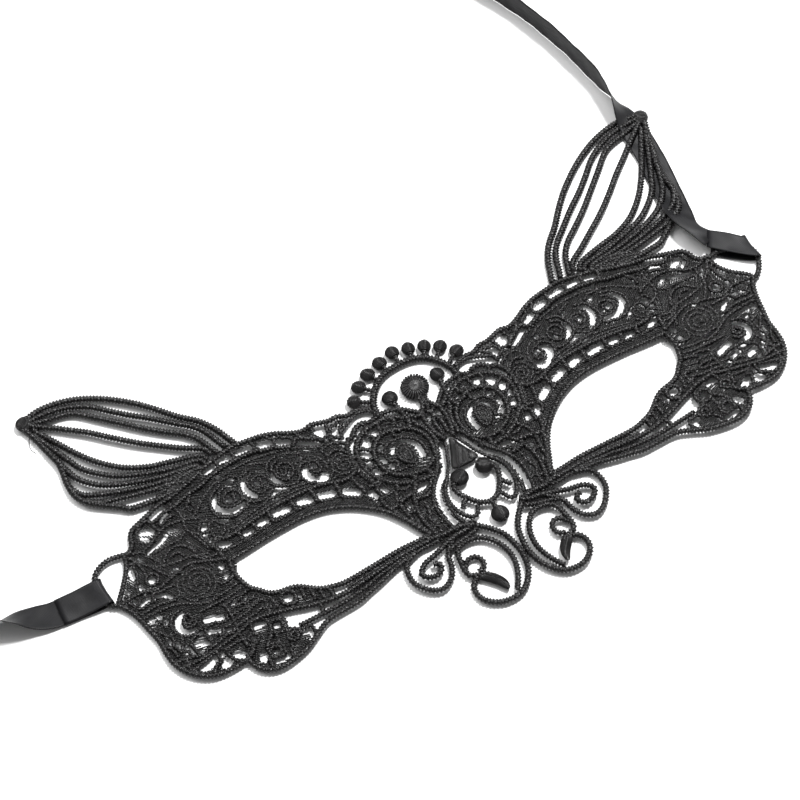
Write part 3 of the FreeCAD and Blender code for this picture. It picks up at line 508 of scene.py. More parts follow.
def thread_material(name, dark, light, matt, shiny, pitch, slant, fuzz):
    material, shader = plain_material(name, dark, matt)
    shader.inputs["Specular IOR Level"].default_value = 0.42
    tree = material.node_tree
    along = add(tree, "ShaderNodeAttribute", attribute_name="along").outputs["Fac"]
    around = add(tree, "ShaderNodeAttribute", attribute_name="around").outputs["Fac"]
    thread = add(tree, "ShaderNodeGroup", node_tree=filaments)
    for key, value in (("Along", along), ("Around", around)):
        tree.links.new(value, thread.inputs[key])
    for key, value in (("Pitch", pitch), ("Slant", slant), ("Fuzz", fuzz)):
        thread.inputs[key].default_value = value
    # Painted glint: the lighter colour lands on the filament ridges, mixed with the random colour of the
    # dyed thread; the darker one is the thread's own black.
    dye_and_glint = add(tree, "ShaderNodeValToRGB", {"Fac": thread.outputs["Tone"]})
    dye_and_glint.color_ramp.elements[0].position, dye_and_glint.color_ramp.elements[1].position = 0.3, 0.75
    dye_and_glint.color_ramp.elements[0].color = (*dark, 1)
    dye_and_glint.color_ramp.elements[1].color = (*light, 1)
    tree.links.new(dye_and_glint.outputs["Color"], shader.inputs["Base Color"])
    gloss = add(tree, "ShaderNodeMapRange",
                {"Value": thread.outputs["Tone"], "To Min": matt, "To Max": shiny})
    tree.links.new(gloss.outputs["Result"], shader.inputs["Roughness"])
    bump = add(tree, "ShaderNodeBump",
               {"Strength": 0.85, "Distance": 0.00012, "Height": thread.outputs["Height"]})
    tree.links.new(bump.outputs["Normal"], shader.inputs["Normal"])
    return material


# Each thread's light colour is a painted glint on its filament ridges; its dark colour is the thread's own
# black.
cord_thread = thread_material("black_cord_thread", dark=(0.0012, 0.0011, 0.0012),
    light=(0.014, 0.0130, 0.0135),
                              matt=0.40, shiny=0.22, pitch=0.00055, slant=1.0, fuzz=0.6)
satin_thread = thread_material("black_satin_thread", dark=(0.0018, 0.0017, 0.0018),
    light=(0.015, 0.014, 0.0145),
                               matt=0.44, shiny=0.28, pitch=0.0009, slant=2.0, fuzz=0.4)
ground_thread = thread_material("black_ground_thread", dark=(0.001, 0.001, 0.001),
    light=(0.008, 0.0075, 0.0078),
                                matt=0.55, shiny=0.36, pitch=0.0007, slant=1.0, fuzz=0.7)

# Widths of the outline cords and of the finer ones inside them, the height of a cord's middle over
# the table, and how crossing cords pass over and under each other, all in millimetres.
CORD, FINE = 2.0, 1.7
MIDDLE = 1.5
OVER_AND_UNDER = (0.0, 0.22, -0.18, 0.12, -0.1)


def sew(name, strands, thread, settings=None, woven=True):
    """Stitch the strands, each a list of plan points and a width, into one mesh piece."""
    lines = bpy.data.curves.new(name, "CURVE")
    lines.dimensions = "3D"
    for i, (points, width) in enumerate(strands):
        level = MIDDLE + (OVER_AND_UNDER[i % len(OVER_AND_UNDER)] if woven else 0.0)
        spline = lines.splines.new("POLY")
        spline.points.add(len(points) - 1)
        for knot, place in zip(spline.points, placed(points, level)):
            knot.co = (*place, 1.0)
            knot.radius = width / 2 * MM
    holder = own_object(name, lines)
    stitched = holder.modifiers.new("stitched", "NODES")
    stitched.node_group = stitched_cord
    values = dict(settings or {}, Thread=thread)
    for item in stitched_cord.interface.items_tree:
        if item.in_out == "INPUT" and item.name in values:
            stitched[item.identifier] = values[item.name]
    return as_plain_mesh(holder, name)


def sew_cords(name, strands, **settings):
    return sew(name, strands, cord_thread, settings)


def sew_satin(name, rows):
    settings = {"Stitch Step": 0.5e-3, "Turn": 2.4e-3, "Ridge": 0.06, "Sides": 6, "Flatness": 1.0}
    return sew(name, rows, satin_thread, settings, woven=False)


def round_outline(x, y, radius, count=26):
    angles = [2 * math.pi * i / count for i in range(count)]
    return [(x + radius * math.cos(a), y + radius * math.sin(a)) for a in angles]


def between(a, b, c, d, t):
    """A point of the smooth line through four knots, a share t of the way from b to c."""
    square, cube = (2 * a - 5 * b + 4 * c - d) * t ** 2, (3 * b - a - 3 * c + d) * t ** 3
    return 0.5 * (2 * b + (c - a) * t + square + cube)


def smooth_outline(points, steps):
    """A closed smooth line through the points."""
    knots = np.array(points, float)
    out = []
    for i in range(len(knots)):
        near = [knots[(i + k) % len(knots)] for k in (-1, 0, 1, 2)]
        out += [tuple(between(*near, t)) for t in np.linspace(0, 1, steps, endpoint=False)]
    return out


SHORTEST_ROW = 0.5


def rows_across(outline, angle, gap):
    """Parallel rows at an angle in degrees, kept to where they are inside the outline."""
    turn = math.radians(angle)
    along = np.array([math.cos(turn), math.sin(turn)])
    across = np.array([-along[1], along[0]])
    ring = np.array(outline, float)
    a = np.stack([ring @ along, ring @ across], 1)
    b = np.roll(a, -1, 0)
    for level in np.arange(a[:, 1].min() + gap / 2, a[:, 1].max(), gap):
        hit = (a[:, 1] > level) != (b[:, 1] > level)
        share = (level - a[hit, 1]) / (b[hit, 1] - a[hit, 1])
        cuts = np.sort(a[hit, 0] + share * (b[hit, 0] - a[hit, 0]))
        for start, stop in zip(cuts[::2], cuts[1::2]):
            if stop - start > SHORTEST_ROW:
                count = max(3, int((stop - start) / 1.6) + 2)
                yield [tuple(along * u + across * level) for u in np.linspace(start, stop, count)]


# How far the padding swells the face and the back, as shares of its crown, and the width of
# filling that takes the full crown.
FACE_AND_BACK = (1.0, -0.7)
FULL_WIDTH = 3.5


def satin(outline, angle, gap, crown):
    """A padded satin filling: threads side by side across the shape, highest in the middle."""
    rows = []
    for line in rows_across(outline, angle, gap):
        spread = min(1.0, math.dist(line[0], line[-1]) / FULL_WIDTH)
        for face in FACE_AND_BACK:
            row = []
            for i, (x, y) in enumerate(line):
                u = 2 * i / (len(line) - 1) - 1
                row.append((x, y, MIDDLE + face * crown * spread * math.sqrt(max(0.0, 1 - u * u))))
            rows.append((row, gap * 1.5))
    return rows


ARCH_HALF = [(15.6, 26.5), (15.4, 30), (14.3, 33), (12, 36.2), (9, 39), (5, 40.7)]
arch = [(-x, y) for x, y in ARCH_HALF] + [(0, 41.25)] + ARCH_HALF[::-1]
PICOTS = [(0, 46.6, 0), (5.7, 45.1, 15), (11.2, 43.1, 34), (16.1, 40.2, 48), (20.2, 35.8, 70)]
PICOTS = PICOTS + [(-x, y, -lean) for x, y, lean in PICOTS[1:]]
STEM_FEET = [(0, 41.2), (4.7, 40.8), (8.9, 39), (12.2, 36), (14.6, 32.4)]
stems = []
for (x, y, lean), foot in zip(PICOTS, STEM_FEET + [(-x, y) for x, y in STEM_FEET[1:]]):
    stems.append(([(x, y), ((x + foot[0]) / 2, (y + foot[1]) / 2), foot], 1.7))
crown_cords = sew_cords("crown_cords", [(arch, 2.5)] + stems + [
    ([(0, 27), (0, 24), (0, 21)], 2.4),
    ([(-1.2, 26.5), (-1, 23.6), (-2.6, 21), (-5.2, 19.2)], 1.8),
    ([(1.2, 26.5), (1, 23.6), (2.6, 21), (5.2, 19.2)], 1.8),
    ([(9.1, 29), (8.8, 26.4), (8.2, 22)], 2.2), ([(-9.1, 29), (-8.8, 26.4), (-8.2, 22)], 2.2),
    ([(2.4, 19.6), (5.4, 22.6), (8.4, 25.2), (12, 26.6), (16, 27)], 1.9),
    ([(-2.4, 19.6), (-5.4, 22.6), (-8.4, 25.2), (-12, 26.6), (-16, 27)], 1.9),
])
rides(crown_cords, "middle", "lace_cord", "crown_arch", "crown_stalks")

dots = []
for x, y, lean in PICOTS:
    dots += satin(round_outline(x, y, 2.35), -lean, 0.52, 1.0)
for sign in (1, -1):
    dots += satin(round_outline(sign * 9.3, 31.0, 2.55), 25 * sign, 0.52, 1.1)
# The bud is a round of threads that run out from its middle, every second one finer.
BUD_Y, BUD_RADIUS, BUD_CROWN, BUD_RAYS = 30.6, 5.0, 1.2, 28
for i in range(BUD_RAYS):
    a = 2 * math.pi * i / BUD_RAYS
    for face in FACE_AND_BACK:
        ray = []
        for r in (0.15, 1.2, 2.4, 3.6, 4.4, 4.8):
            swell = math.sqrt(max(0.0, 1 - (r / BUD_RADIUS) ** 2.4))
            ray.append((r * math.cos(a), BUD_Y + r * math.sin(a), MIDDLE + face * BUD_CROWN * swell))
        dots.append((ray, 0.8 if i % 2 else 1.05))
crown_dots = sew_satin("crown_dots", dots)
rides(crown_dots, "middle", "satin_fill", "crown_bud", "crown_side_buds", "crown_picots")

# --- Nose: satin triangle, curls and drop -------------------------------------------------
# A padded triangle between the eyes, with two curls that end in satin heads, thorned side
# loops and a round drop hanging from the arc.

U_HALF = [(8, -10.5), (7.7, -13), (6.3, -15.8), (4, -19), (1.8, -20.4)]
u_arc = [(5.8, -6.6)] + U_HALF + [(0, -20.8)] + [(-x, y) for x, y in U_HALF[::-1]] + [(-5.8, -6.6)]


def mirrored(strands, sign):
    """The strands of the right half, or for a sign of -1 the same strands on the left."""
    return [([(sign * x, y, *rest) for x, y, *rest in points], width) for points, width in strands]


nose_side = [
    ([(8, -6), (10.2, -8.7), (11.6, -12), (11.8, -16), (10.6, -20), (8.4, -22.8), (6.2, -22.8),
      (5, -20.6), (3.6, -19.4)], FINE),
    ([(6, -15.9), (7.6, -16.6), (9.2, -18.8)], 1.9),
]
nose_cords = sew_cords("nose_curl_cords", [(u_arc, CORD), ([(0, -20.8), (0, -22.5), (0, -24.8)], 1.6)]
                       + nose_side + mirrored(nose_side, -1))
rides(nose_cords, "middle", "lace_cord", "nose_curl_arc")
heads = satin(round_outline(0, -26.5, 2.95), 0, 0.42, 1.2)
for sign in (1, -1):
    heads += satin(round_outline(sign * 4.7, -8.0, 2.95), sign * 60, 0.42, 1.2)
nose_heads = sew_satin("nose_satin_heads", heads)
rides(nose_heads, "middle", "satin_fill", "nose_curl_heads", "nose_drop")
triangle = smooth_outline([(0, 7), (1.6, 3.8), (3.2, 0.2), (4.9, -3.6), (2.4, -4.6), (0, -4.4),
    (-2.4, -4.6), (-4.9, -3.6), (-3.2, 0.2), (-1.6, 3.8)], 3)
nose_triangle = sew_satin("nose_triangle", satin(triangle, 0, 0.42, 0.75))
rides(nose_triangle, "middle", "satin_fill", "nose_panel")

# --- Paisley medallions and shoulders, beside the crown -----------------------------------
# Each medallion is a satin heart in two corded rings, with small openings between the
# bridges that join them. The shoulder's scalloped edge runs on to the brow.

PAISLEY = [
    ([(9, 5), (8.5, 9), (10, 13), (14, 15.5), (18.5, 15.5), (21, 12.5), (21, 9), (19, 5.2),
      (16, 3.6)], FINE),
    ([(7, 3.4), (5.9, 10), (8, 15.5), (13, 19), (18.5, 19.5), (23, 16.5), (24.5, 12.5), (24, 7.5),
      (21.5, 3.5), (17, 1), (12, 0.5), (7, 3.4)], CORD),
    ([(6.4, 1.5), (4.2, 9), (5.6, 16.4), (9.5, 22), (14, 24.5), (19, 24.6), (24, 23.3), (28, 19.8),
      (29.5, 15.3), (29.3, 10), (27, 5),
      (23, 1), (18, -1.7), (12, -2.5), (6.8, -0.6)], 2.2),
    ([(18.5, 19.5), (18, 22), (17.5, 24.6)], FINE), ([(21, 18.2), (21.6, 21), (22.4, 24)], FINE),
    ([(23.6, 15.6), (26, 17.6), (28.2, 18.9)], FINE), ([(24.5, 12.5), (27, 14.2), (29.5, 15)], FINE),
    ([(24.5, 10), (27, 11), (29.4, 11.5)], FINE), ([(23, 5.5), (25.4, 6.2), (28, 6.5)], FINE),
    ([(20.5, 12.5), (22.6, 14.6), (23.4, 16)], FINE), ([(19, 15.3), (20.2, 17), (21, 18.6)], FINE),
    ([(19, 5.2), (20.4, 5.2), (22, 4.3)], FINE), ([(13, 19), (12.6, 21.4), (12, 23.8)], 2.4),
    ([(9.5, 16.8), (8.4, 19.2), (8.2, 21.5)], 2.6), ([(17, 1), (17, -0.4), (17, -1.8)], 3.0),
    ([(12, .5), (11.8, -1), (11.5, -2.5)], 3.0), ([(14.4, 16.2), (15, 17.8), (14.6, 19.4)], 1.9),
]
SHOULDER = [
    ([(16.5, 30.6), (21, 32.3), (25, 32.2), (28, 33.6), (31, 33.6), (34, 34.4), (37, 35.3),
      (39, 35)], CORD),
    ([(15.6, 27.2), (17.6, 30.2), (21.5, 31.2), (25.4, 29.6), (28.6, 28.2), (31.5, 26.8)], FINE),
    ([(16, 27.3), (22, 27.3), (26, 25.8), (29.8, 22.6), (31.3, 18.8), (31.9, 14), (31.4, 9),
      (29.6, 4.6)], CORD),
    ([(26.5, 31.8), (28.4, 30), (30, 28.5)], FINE), ([(30, 28.8), (31.2, 27), (32.5, 25.5)], FINE),
    ([(32.5, 33.4), (33.6, 30), (34.5, 27)], FINE), ([(38, 34), (37.2, 31), (36, 28)], FINE),
    ([(22, 27.3), (21.6, 25.8), (21.5, 24.2)], FINE), ([(27, 25.2), (26.2, 24), (25.5, 22.5)], FINE),
    ([(16, 27.4), (15.4, 26), (15, 24.4)], 2.2), ([(31.5, 17), (30.4, 16.6), (29.3, 16)], FINE),
    ([(31.3, 18.8), (33, 21.2), (35.5, 22.6), (38.5, 21.5)], FINE),
    ([(29.8, 22.8), (32, 24.6), (35, 25.6), (38.5, 25.2)], FINE),
    ([(28.2, 32), (30.6, 30.6), (33, 29.6), (36, 28.6)], FINE),
]
# Every opening in one half of the lace, as a line and half its width. Neighbouring pieces part
# round the same ones.
LACE_OPENINGS = [
    # shoulder and medallion
    ([(30.8, 23.2), (28, 26), (25.4, 28.1), (22, 28.8), (18.4, 27.6)], 0.75), ([(28.3, 22.6),
      (29.7, 20.2)], 0.4), ([(31, 29.6), (32, 25.8)], 0.85),
    ([(36.8, 31.4), (35, 29)], 1.1), ([(21, 22.4), (19.5, 21.4)], 0.85), ([(24.2, 20.1),
      (24.6, 19)], 1.0), ([(26.9, 16.2), (26.5, 14.9)], 1.0),
    ([(27.4, 12), (27.4, 11.6)], 0.7), ([(27, 8.8), (26.5, 7.3)], 0.75), ([(21.1, 15.6)], 0.65),
      ([(23, 12), (22.4, 10.3)], 0.5), ([(17.4, 13.2), (18.3, 11.8)], 0.6),
    ([(13.6, 14.3), (11.2, 12.2), (10.3, 9), (10.7, 5.6)], 0.5), ([(21, 7.6), (19.3, 5.7)], 0.8),
      ([(16.6, 3.5)], 0.45), ([(16.9, 17.2)], 0.55), ([(12, 19.7)], 0.6), ([(4.8, 17.9)], 0.8),
      ([(1.7, 18.6), (1.9, 17.2)], 0.6),
    # beside the nose
    ([(3.9, 6), (4.9, 3), (5.6, 0.6), (6.9, -2), (9.1, -4.4), (11.7, -6.9), (13.5, -10), (14.3, -14),
      (14.5, -18), (14, -22)], 0.55),
    ([(20.6, -3.9), (18.9, -4.7), (16.5, -4.7), (14.8, -4.6)], 0.75), ([(17.4, -8.2)], 0.5),
      ([(28.2, 1.6), (27.6, 0)], 0.8), ([(25.3, -4)], 1.1), ([(22.9, -8.9)], 0.65),
    ([(19.2, -16.4), (19.2, -17.2)], 0.5), ([(24.1, -14.2), (24.1, -15)], 0.45), ([(19.9, -12.6)], 0.5),
      ([(18, -22.4)], 0.5),
    # the ladder over the eye
    ([(69.6, 11.4), (67.2, 11.2)], 0.9), ([(63.4, 12), (59.4, 11.3)], 1.05), ([(53.8, 11.6),
      (51.2, 10.3)], 1.15), ([(47.2, 9.9), (43.6, 8.6)], 1.15), ([(39.2, 6.8), (35.8, 4.6)], 1.15),
    ([(32.2, 1.8), (30.6, 0.4)], 1.1), ([(75, 10.3), (73, 10.1)], 0.8), ([(83.6, 10.2),
      (81.8, 9.8)], 0.6),
    # the ladder along the brow
    ([(76.6, 37.6), (73.2, 38.4)], 0.8), ([(70.3, 39), (67, 38.5)], 0.8), ([(63.4, 38.5),
      (59.4, 38.1)], 0.95), ([(55.3, 36.9), (52.7, 36.3)], 1.2), ([(49.6, 34.7), (46.9, 33.5)], 1.15),
    ([(44, 31.2), (41.2, 30.1), (38.6, 28)], 0.85),
    # the brow's curls
    ([(43.8, 21.4), (46.4, 21.3), (47.6, 19.3), (46.8, 17)], 0.95), ([(44.8, 15.5), (42.6, 14.7),
      (42, 16.2)], 0.95), ([(57.6, 25.6), (57.6, 23.2), (56, 20.8)], 0.6), ([(52.3, 23)], 0.6),
    ([(66.6, 28.6), (67.7, 26.6), (67.4, 23.6), (66, 21.4)], 0.8), ([(63.4, 25.2), (60.8, 24.7)], 0.5),
      ([(77.8, 27.6), (79.4, 25), (78.5, 22.4), (75.2, 20.1), (71, 20)], 0.8),
    ([(75, 24.2), (71.5, 23.8)], 0.6), ([(86, 20), (86.9, 16.8), (85.8, 12.8), (83.3, 10.4)], 0.95),
      ([(80.3, 18.8), (79, 17.9)], 0.5), ([(70.7, 30.6)], 0.8),
    ([(60.6, 18.6), (58.3, 19.3), (55.8, 18.2)], 0.4), ([(63, 16.7), (58.6, 15.7)], 0.4),
      ([(46.5, 26.8), (46.3, 25.8)], 0.5), ([(55.3, 31.7)], 0.45), ([(35.7, 19.6)], 0.5),
    ([(59.4, 30.2)], 0.5), ([(73.7, 33.4)], 0.45),
    # temple
    ([(100, 31.2), (97.6, 32.2), (95.2, 33)], 0.8), ([(105.4, 28.5), (102.4, 27.3)], 0.9),
      ([(106.4, 26), (104.6, 24.6)], 0.5), ([(88.6, 29.4), (87, 28.5)], 0.7),
    ([(98, 28.4), (95.2, 30.5)], 0.35), ([(97, 24.4), (94.6, 23.3)], 0.35), ([(117, 4.4), (114.5, 5),
      (111, 4.8), (108.4, 3.8), (107, 2)], 0.55), ([(118.7, 10.8)], 0.5),
    ([(118.2, 7.4)], 0.5), ([(110, 11), (110.1, 10.6)], 1.1), ([(114.4, 10.8), (114, 8)], 0.55),
      ([(113.6, 20.6), (114.5, 17.6), (115, 15)], 0.6), ([(110.2, 19.6)], 0.5),
    ([(107, 20), (104.6, 21.2), (101.2, 22), (98.4, 23.3)], 0.3), ([(87.8, 4.2), (88, 3.4)], 0.5),
      ([(87.9, -0.2), (88.1, -1)], 0.4), ([(101.6, 10.8), (99.6, 8.9)], 0.35),
    # cheek
    ([(107.1, -5), (109, -6.9), (109.6, -9.6), (108.4, -11.8), (106.4, -12.3)], 0.8), ([(100.5, -11),
      (98.2, -11.8), (96, -13)], 1.0), ([(104.6, -14.2), (99.9, -16.3), (95.6, -18.4)], 0.5),
    ([(107.2, -17), (104.8, -18.4)], 0.8), ([(109.4, -26), (106.8, -25.6), (104.4, -24.8),
      (102.6, -24.2)], 1.15), ([(102.6, -28.4), (100.4, -27.4), (97.6, -27.5), (96.4, -28.6)], 1.2),
    ([(113.1, -18.8), (110.2, -19.6), (107, -20.8)], 0.45), ([(90.6, -31.8), (91.2, -33)], 0.9),
      ([(90.1, -24.3), (90.6, -25)], 0.6), ([(113.4, -13.4), (111.8, -16.2), (109.8, -18)], 0.45),
    ([(114.5, -11), (114.6, -13)], 0.4), ([(88.2, -21.2), (85.6, -21.6)], 0.85), ([(87, -11.2),
      (83.8, -10.1)], 0.35), ([(87.5, -13.2), (83.3, -12.3)], 0.35),
    ([(86.4, -15.6), (81.8, -14.7)], 0.35), ([(91, -10.2), (86.6, -7.8)], 0.3), ([(84.5, -17.8),
      (81.2, -16.8)], 0.35), ([(114.2, -0.4), (113.8, -3)], 0.4), ([(116.5, -0.9),
      (116.4, -2.9)], 0.35),
    ([(113.7, -5.8), (112.4, -5.2)], 0.4), ([(99.7, -3.8), (95.2, -5.1)], 0.4), ([(88, -35.6),
      (85, -36.2), (82, -35.6)], 0.55), ([(86.5, -32.7)], 0.5), ([(82, -24.6)], 0.7), ([(75.2, -31.4),
      (72, -32.2)], 0.8),
]
HEART = [(12.6, 5.2), (12.2, 9), (13.2, 12.6), (15.6, 13.6), (17.8, 11.6), (18, 8.2), (16.4, 5.2),
    (14.2, 3.6)]
# The threads rolled up on the heart: each turn's size as a share of the heart, and its width.
HEART_MIDDLE, HEART_TOP = (15.2, 8.8), 2.1
heart_turns = []
for share, width in ((0.84, 1.3), (0.5, 1.3), (0.18, 1.1)):
    turn = []
    for knot in HEART + HEART[:1]:
        x, y = (m + share * (v - m) for v, m in zip(knot, HEART_MIDDLE))
        turn.append((x, y, HEART_TOP))
    heart_turns.append((turn, width))

CLEARANCE = 0.3


def eased(points, step=0.6):
    """Close plan points along the smooth line through the points."""
    knots = np.array([p[:2] for p in points], float)
    knots = np.vstack([2 * knots[0] - knots[1], knots, 2 * knots[-1] - knots[-2]])
    line = [knots[1]]
    for near in zip(knots, knots[1:], knots[2:], knots[3:]):
        count = max(2, int(math.dist(near[1], near[2]) / step) + 1)
        line += [between(*near, t) for t in np.linspace(0, 1, count)[1:]]
    return np.array(line)


def beads_of(openings):
    """Each opening as round beads close together: their places and radii."""
    beads = []
    for points, half in openings:
        for x, y in eased(points, 0.4) if len(points) > 1 else points:
            beads.append((x, y, half))
    return np.array(beads)


def ground(outline, openings, angle, seed, gap=0.62, middle=1.35):
    """The stitched ground that fills the lace between its cords, with its openings left out."""
    rng = np.random.default_rng(seed)
    beads = beads_of(openings)
    rows = []
    for line in rows_across(outline, angle, gap):
        start, stop = np.array(line[0]), np.array(line[-1])
        count = max(3, int(math.dist(start, stop) / 0.35))
        spots = start + (stop - start) * np.linspace(0, 1, count)[:, None]
        far = np.linalg.norm(spots[:, None] - beads[:, :2], axis=2) - beads[:, 2]
        clear = far.min(1) > CLEARANCE
        for run in np.split(np.arange(len(spots)), np.flatnonzero(np.diff(clear.astype(int))) + 1):
            if clear[run[0]] and len(run) > 2:
                ends = sorted(set(run[::4]) | {run[-1]})
                row = [(*spots[i], middle + rng.uniform(-0.3, 0.3)) for i in ends]
                rows.append((row, gap * rng.uniform(0.95, 1.3)))
    return rows


def sew_ground(name, rows):
    settings = {"Stitch Step": 0.9e-3, "Turn": 5.0e-3, "Ridge": 0.05, "Sides": 5, "Flatness": 1.0}
    return sew(name, rows, ground_thread, settings, woven=False)


INNER_FINER = 0.86


def parted(strands):
    """The cords led round the lace's openings, and the inner ones drawn finer."""
    beads = beads_of(LACE_OPENINGS)
    led = []
    for points, width in strands:
        width = width * INNER_FINER if width < CORD else width
        line = eased(points)
        for _ in range(2):
            gaps = line[:, None] - beads[:, :2]
            far = np.linalg.norm(gaps, axis=2)
            close = beads[:, 2] + width / 2 - far
            rows, nearest = np.arange(len(line)), close.argmax(1)
            push = np.clip(close[rows, nearest], 0, None) / np.maximum(far[rows, nearest], 1e-6)
            line = line + gaps[rows, nearest] * push[:, None]
        led.append(([tuple(p) for p in line], width))
    return led


paisley_ground = ground(smooth_outline([(8, 1), (5.2, 8), (6.2, 16), (9.5, 21.8), (14, 24), (19, 24.4),
    (24, 23), (28, 19.4), (29.4, 15), (29, 10), (27, 5.2), (23, 1.2), (18, -1.6), (12, -2.2)], 4),
                        LACE_OPENINGS, 20, seed=3)
shoulder_ground = ground(smooth_outline([(16.4, 27.2), (21, 27.2), (26, 25.8), (30, 22.6), (31.8, 19),
    (33.6, 20.4), (36.5, 20), (38.6, 18), (39, 24), (38.6, 27.6), (33, 27.4), (29.6, 26.6), (24, 28.2),
    (18, 28.6)], 4),
                         LACE_OPENINGS, 60, seed=4)
heart_satin = satin(smooth_outline(HEART, 4), 70, 0.5, 0.45)
for side, sign in SIDES.items():
    cords = sew_cords(side + "_paisley_cords", mirrored(parted(PAISLEY) + heart_turns, sign))
    rides(cords, "middle", "lace_cord", side + "_paisley_ring")
    heart = sew_satin(side + "_paisley_heart_satin", mirrored(heart_satin, sign))
    rides(heart, "middle", "satin_fill", side + "_paisley_heart")
    fill = sew_ground(side + "_paisley_ground", mirrored(paisley_ground + shoulder_ground, sign))
    rides(fill, "middle", "lace_cord")
    shoulder = sew_cords(side + "_shoulder_cords", mirrored(parted(SHOULDER), sign))
    rides(shoulder, "middle", "lace_cord", side + "_shoulder_edge")

# --- Nose bridge: bands from the crown down to the eyes' inner corners --------------------
# Five corded bands with the ground stitched between them, gathering above the scrolls.

NOSE_BAND = [
    ([(1.4, 8), (3.6, 2.4), (7, -4.5), (11, -10), (12.5, -15), (12.4, -20), (11.6, -23)], 1.5),
    ([(3.4, 8.6), (6.6, 3.4), (9.8, -2.4), (13.4, -7), (16, -11.6), (16.6, -16.4), (15.9, -21.6),
      (14.6, -25)], 1.9),
    ([(11, -3), (15.5, -6), (18.4, -10), (19.4, -17), (18.8, -22), (17.4, -25.5)], 1.8),
    ([(17, -2.2), (20.4, -6), (22, -11), (22.5, -16), (21.6, -21), (20.8, -24)], 2.0),
    ([(23, 0.6), (25, -3), (26, -7), (25.6, -12), (24.4, -17), (23, -21.5)], 2.0),
    ([(27, 5), (30, 0.5), (30.6, -3.5), (28.6, -9), (26.5, -14), (24.6, -18), (23.2, -22)], 2.0),
    ([(1.4, 7), (3, 11), (3.6, 15.5), (4.6, 19), (7.5, 21.8)], 2.2),
    ([(0.9, 9), (1.2, 13), (1, 17), (1, 20.5)], 2.0),
    ([(9, -26), (12, -24.5), (15.5, -24), (20, -24), (25, -22.8)], 2.4),
    ([(8.5, -24.5), (11.5, -26), (16, -26.3), (20.5, -27.5)], 2.4),
    ([(12.4, -3.2), (10.8, -2.8), (9.4, -2.6)], 2.0), ([(15.8, -8.4), (18.4, -8.2), (21.5, -8)], 2.0),
    ([(16.2, -13.4), (17.8, -13.4), (19.2, -14)], FINE), ([(22, -11.6), (24, -11.4),
      (26, -11.6)], FINE),
    ([(16.2, -19.4), (17.8, -19.4), (19.3, -19.5)], FINE), ([(19.3, -20), (20.8, -20.2),
      (22.3, -20)], FINE),
    ([(20, -4.8), (22.4, -5.6), (25.8, -5.6)], 2.2), ([(20, -3.2), (22.2, -2.4), (24.3, -1)], FINE),
    ([(27, 4.6), (29.4, 4.4), (31.8, 4.2)], 2.0), ([(25, -1.4), (27.6, -1.2), (30.6, -1.8)], FINE),
    ([(26.3, -6.6), (28, -6.8), (29.6, -7)], 2.0),
]
nose_ground = ground(smooth_outline([(1.2, 8.4), (3.8, 3.6), (7.4, -4), (11.5, -9.8), (13.2, -15),
    (13, -20), (9.2, -25.6), (14, -26.4), (21, -26.4), (24.6, -22), (25.6, -17), (28.4, -10),
    (30.6, -4), (30, 1), (27, 4.6), (23, 0.8), (17, -2), (11, -2.8), (6.6, -0.6), (4.4, 8), (5.6, 16),
    (8.4, 21.4), (5, 20.6), (1, 20.6), (0.6, 14)], 4),
                     LACE_OPENINGS, 75, seed=5)
for side, sign in SIDES.items():
    cords = sew_cords(side + "_nose_band_cords", mirrored(parted(NOSE_BAND), sign))
    rides(cords, "middle", "lace_cord", side + "_nose_band")
    fill = sew_ground(side + "_nose_band_ground", mirrored(nose_ground, sign))
    rides(fill, "middle", "lace_cord")

# --- Scrolls below the nose ---------------------------------------------------------------
# A big open scroll with a satin leaf, and a smaller one outside it, each a single cord that
# rolls in on itself. The two big ones meet under the nose.

BIG_SCROLL = [
    ([(9, -26), (5.5, -29.5), (2.5, -34), (1.35, -39), (1.1, -43), (2.1, -48), (4.5, -52), (8, -54.7),
      (12, -55.3), (16, -54.3),
      (19.3, -51.7), (20.7, -48.5), (20.2, -45.3), (18, -43.3), (15.4, -42.9), (13.6, -44.4)], 2.1),
    ([(16.6, -42.6), (19.2, -41.4), (19.9, -39), (19.5, -36), (19, -33), (17.3, -30.7), (13.5, -30),
      (9.5, -31.2), (6.5, -34.5),
      (4.7, -39), (4.6, -44), (6.3, -49), (9, -53.4)], 2.0),
    ([(19.4, -38.4), (17.4, -36.1), (14.6, -36.1), (13.2, -38.2), (13.8, -40.6), (16.2, -41.4)], 1.9),
    ([(9, -27.5), (13, -28.6), (17.5, -29.2), (21.5, -30.5)], 1.9),
]
LEAF = [(17.4, -43.6), (15.6, -45.9), (13.6, -48.4), (11.2, -51.9), (10.2, -49.6), (11, -46.6),
    (13, -43.9), (15.4, -42.9)]
SMALL_SCROLL = [
    ([(31.4, -25.5), (34.8, -27), (36.4, -30.5), (36.2, -35), (33, -39.3), (29, -41), (25, -39),
      (22.8, -35.3), (22, -32), (20, -29), (17.5, -27.4)], 2.0),
    ([(16, -26.5), (20, -27.3), (25, -29), (30, -30.3), (32.6, -32.8), (31.5, -35), (28.5, -35.9),
      (26.2, -34.6), (25.9, -32.6), (27.8, -31.9)], 2.0),
    ([(21, -24.6), (24, -25), (28, -24.8), (32, -25.6)], 1.8),
]
leaf_satin = satin(smooth_outline(LEAF, 4), 145, 0.45, 0.9)
for side, sign in SIDES.items():
    big = sew_cords(side + "_big_scroll", mirrored(BIG_SCROLL, sign))
    rides(big, "middle", "lace_cord", side + "_nose_scroll")
    leaf = sew_satin(side + "_scroll_leaf_satin", mirrored(leaf_satin, sign))
    rides(leaf, "middle", "satin_fill", side + "_scroll_leaf")
    small = sew_cords(side + "_little_scroll", mirrored(SMALL_SCROLL, sign))
    rides(small, "middle", "lace_cord", side + "_small_scroll")
